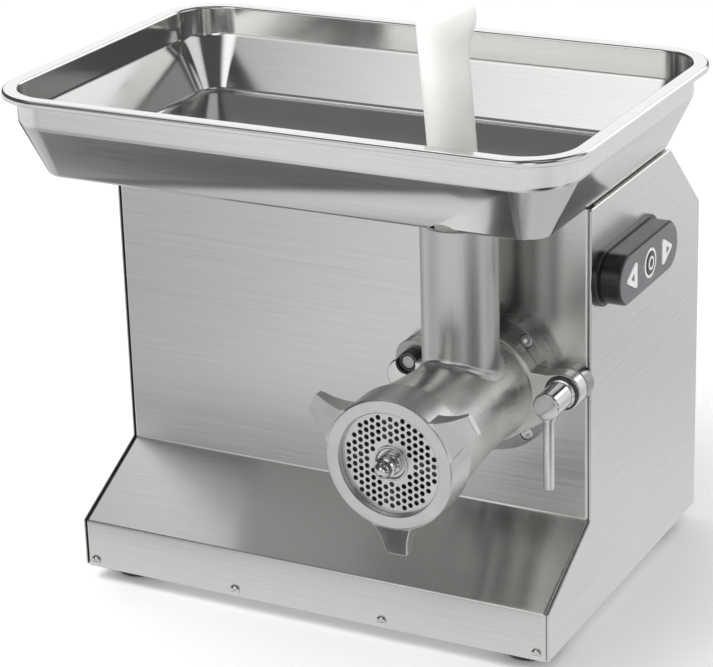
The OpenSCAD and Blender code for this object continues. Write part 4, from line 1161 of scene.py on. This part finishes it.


# Dark patches on the table, which only reflections see: black cards, and just in front of the machine
# painted shadow: (x, y, half width, half depth, softness, darkness), in metres
CARDS_AND_SHADOWS = [
    (0.78, -0.42, 0.46, 0.42, 0.6, 0.97),
    (0.07, -0.30, 0.085, 0.10, 0.6, 0.93),
    (-1.0, 0.54, 0.45, 0.45, 0.6, 0.95),
    (-0.15, -0.25, 0.50, 0.055, 0.5, 0.85),
    (-0.62, -0.55, 0.42, 0.50, 0.8, 0.42),
    (-1.00, -1.00, 0.45, 0.40, 0.8, 0.35),
    (0.50, 0.55, 0.32, 0.45, 0.9, 0.22),
    (0.85, 0.25, 0.35, 0.30, 0.7, 0.5),
]
TABLE_GLOW = 0.88


def studio_floor():
    """White table. Reflections see it as a painted glow with soft dark patches: black cards, and painted
    shadow in front of the machine.
    """
    floor = Finish("floor_white", (0.93, 0.93, 0.93), 0.6)
    floor.set_colour(floor.tint(floor.noise(3.0), 0.995, 1.0))
    shape = loft([[(x, y, z) for x, y in circle(9000, 96)] for z in (-40, 0)])
    thing = raw_object("floor", shape, Matrix.Scale(MM, 4))
    thing.data.materials.append(floor.material)
    seen = floor.node("ShaderNodeLightPath").outputs["Is Glossy Ray"]
    bright = TABLE_GLOW
    # each entry darkens the painted glow: black cards, and painted shadow just in front of the machine
    for x, y, wide, deep, soft, dark in CARDS_AND_SHADOWS:
        offset = floor.node("ShaderNodeVectorMath", {0: floor.place}, {1: (x, y, 0)}, operation="SUBTRACT")
        share = floor.node("ShaderNodeVectorMath", {0: offset.outputs[0]}, {1: (1 / wide, 1 / deep, 0)},
                           operation="MULTIPLY")
        gap = floor.node("ShaderNodeVectorMath", {0: share.outputs[0]}, operation="LENGTH")
        dark_patch = floor.between(gap.outputs["Value"], 1 - dark, 1.0, 1 - soft, 1.0)
        bright = floor.math("MULTIPLY", bright, dark_patch)
    glow = floor.node("ShaderNodeEmission", {"Strength": bright})
    mix = floor.node("ShaderNodeMixShader", {"Fac": seen, 1: floor.shader.outputs[0], 2: glow.outputs[0]})
    output = next(n for n in floor.tree.nodes if n.type == "OUTPUT_MATERIAL")
    floor.tree.links.new(mix.outputs[0], output.inputs[0])


# Soft boxes of the studio: (azimuth, elevation, half angle, softness, strength), azimuth 0 is ahead of
# the object and 90 on its right, all in degrees
SOFT_BOXES = [
    (-12, 22, 8, 18, 1.3),
    (-104, 58, 5, 7, 0.65),
    (-152, 19, 13, 9, 1.1),
    (-136, 58, 6, 9, 1.9),
    (168, 30, 12, 8, 1.5),
    (150, 10, 14, 10, 1.0),
    (-50, 60, 12, 16, 0.12),
    (26, 8, 7, 7, 1.5),
    (60, 62, 10, 8, 0.5),
    (100, 25, 16, 12, 0.8),
]
ROOM_LIGHT = 0.08


def studio_world():
    """Evenly white room that shows to reflections as a dark studio with soft boxes."""
    world = bpy.data.worlds.new("studio")
    world.use_nodes = True
    bpy.context.scene.world = world
    tree = world.node_tree
    tree.nodes.clear()

    def node(kind, links=(), values=(), **settings):
        return add_node(tree, kind, links, values, **settings)

    way = node("ShaderNodeTexCoord").outputs["Generated"]
    total = None
    for azimuth, elevation, half, soft, strength in SOFT_BOXES:
        a, e = math.radians(azimuth), math.radians(elevation)
        aim = (math.sin(a) * math.cos(e), -math.cos(a) * math.cos(e), math.sin(e))
        dot = node("ShaderNodeVectorMath", {0: way}, {1: aim}, operation="DOT_PRODUCT")
        edge = {"From Min": math.cos(math.radians(half + soft)), "From Max": math.cos(math.radians(half)),
                "To Min": 0.0, "To Max": strength}
        lobe = node("ShaderNodeMapRange", {"Value": dot.outputs["Value"]}, edge,
                    interpolation_type="SMOOTHSTEP").outputs[0]
        if total is None:
            total = node("ShaderNodeMath", {0: lobe}, {1: ROOM_LIGHT}, operation="ADD").outputs[0]
        else:
            total = node("ShaderNodeMath", {0: total, 1: lobe}, operation="ADD").outputs[0]
    lit = node("ShaderNodeBackground", {"Strength": total}, {"Color": (1, 1, 1, 1)})
    plain = node("ShaderNodeBackground", (), {"Color": (1, 1, 1, 1), "Strength": 1.0})
    ray = node("ShaderNodeLightPath").outputs["Is Glossy Ray"]
    mix = node("ShaderNodeMixShader", {"Fac": ray, 1: plain.outputs[0], 2: lit.outputs[0]})
    node("ShaderNodeOutputWorld", {"Surface": mix.outputs[0]})


def soft_light(name, place, aim, size, watts):
    data = bpy.data.lights.new(name, "AREA")
    data.shape = "RECTANGLE"
    data.size, data.size_y = size
    data.energy = watts
    thing = bpy.data.objects.new(name, data)
    thing.location = place
    thing.rotation_euler = (Vector(aim) - Vector(place)).to_track_quat("-Z", "Y").to_euler()
    thing.visible_glossy = False
    bpy.context.scene.collection.objects.link(thing)


bpy.context.scene.view_settings.view_transform = "Standard"
camera()
studio_floor()
studio_world()
soft_light("key_light", (-1.2, -0.9, 1.9), (0, 0, 0.15), (1.2, 1.2), 30)
dress_cad_nodes()
front_sheet()
side_panels()
rear_sheet()
casing_screws()
rubber_feet()
hub_plate()
hub_bolt_heads()
locating_pin()
barrel()
neck()
ring_nut()
hole_plate()
stud()
worm()
clamp()
tray()
plunger()
switch_box()
buttons()
cable_gland()
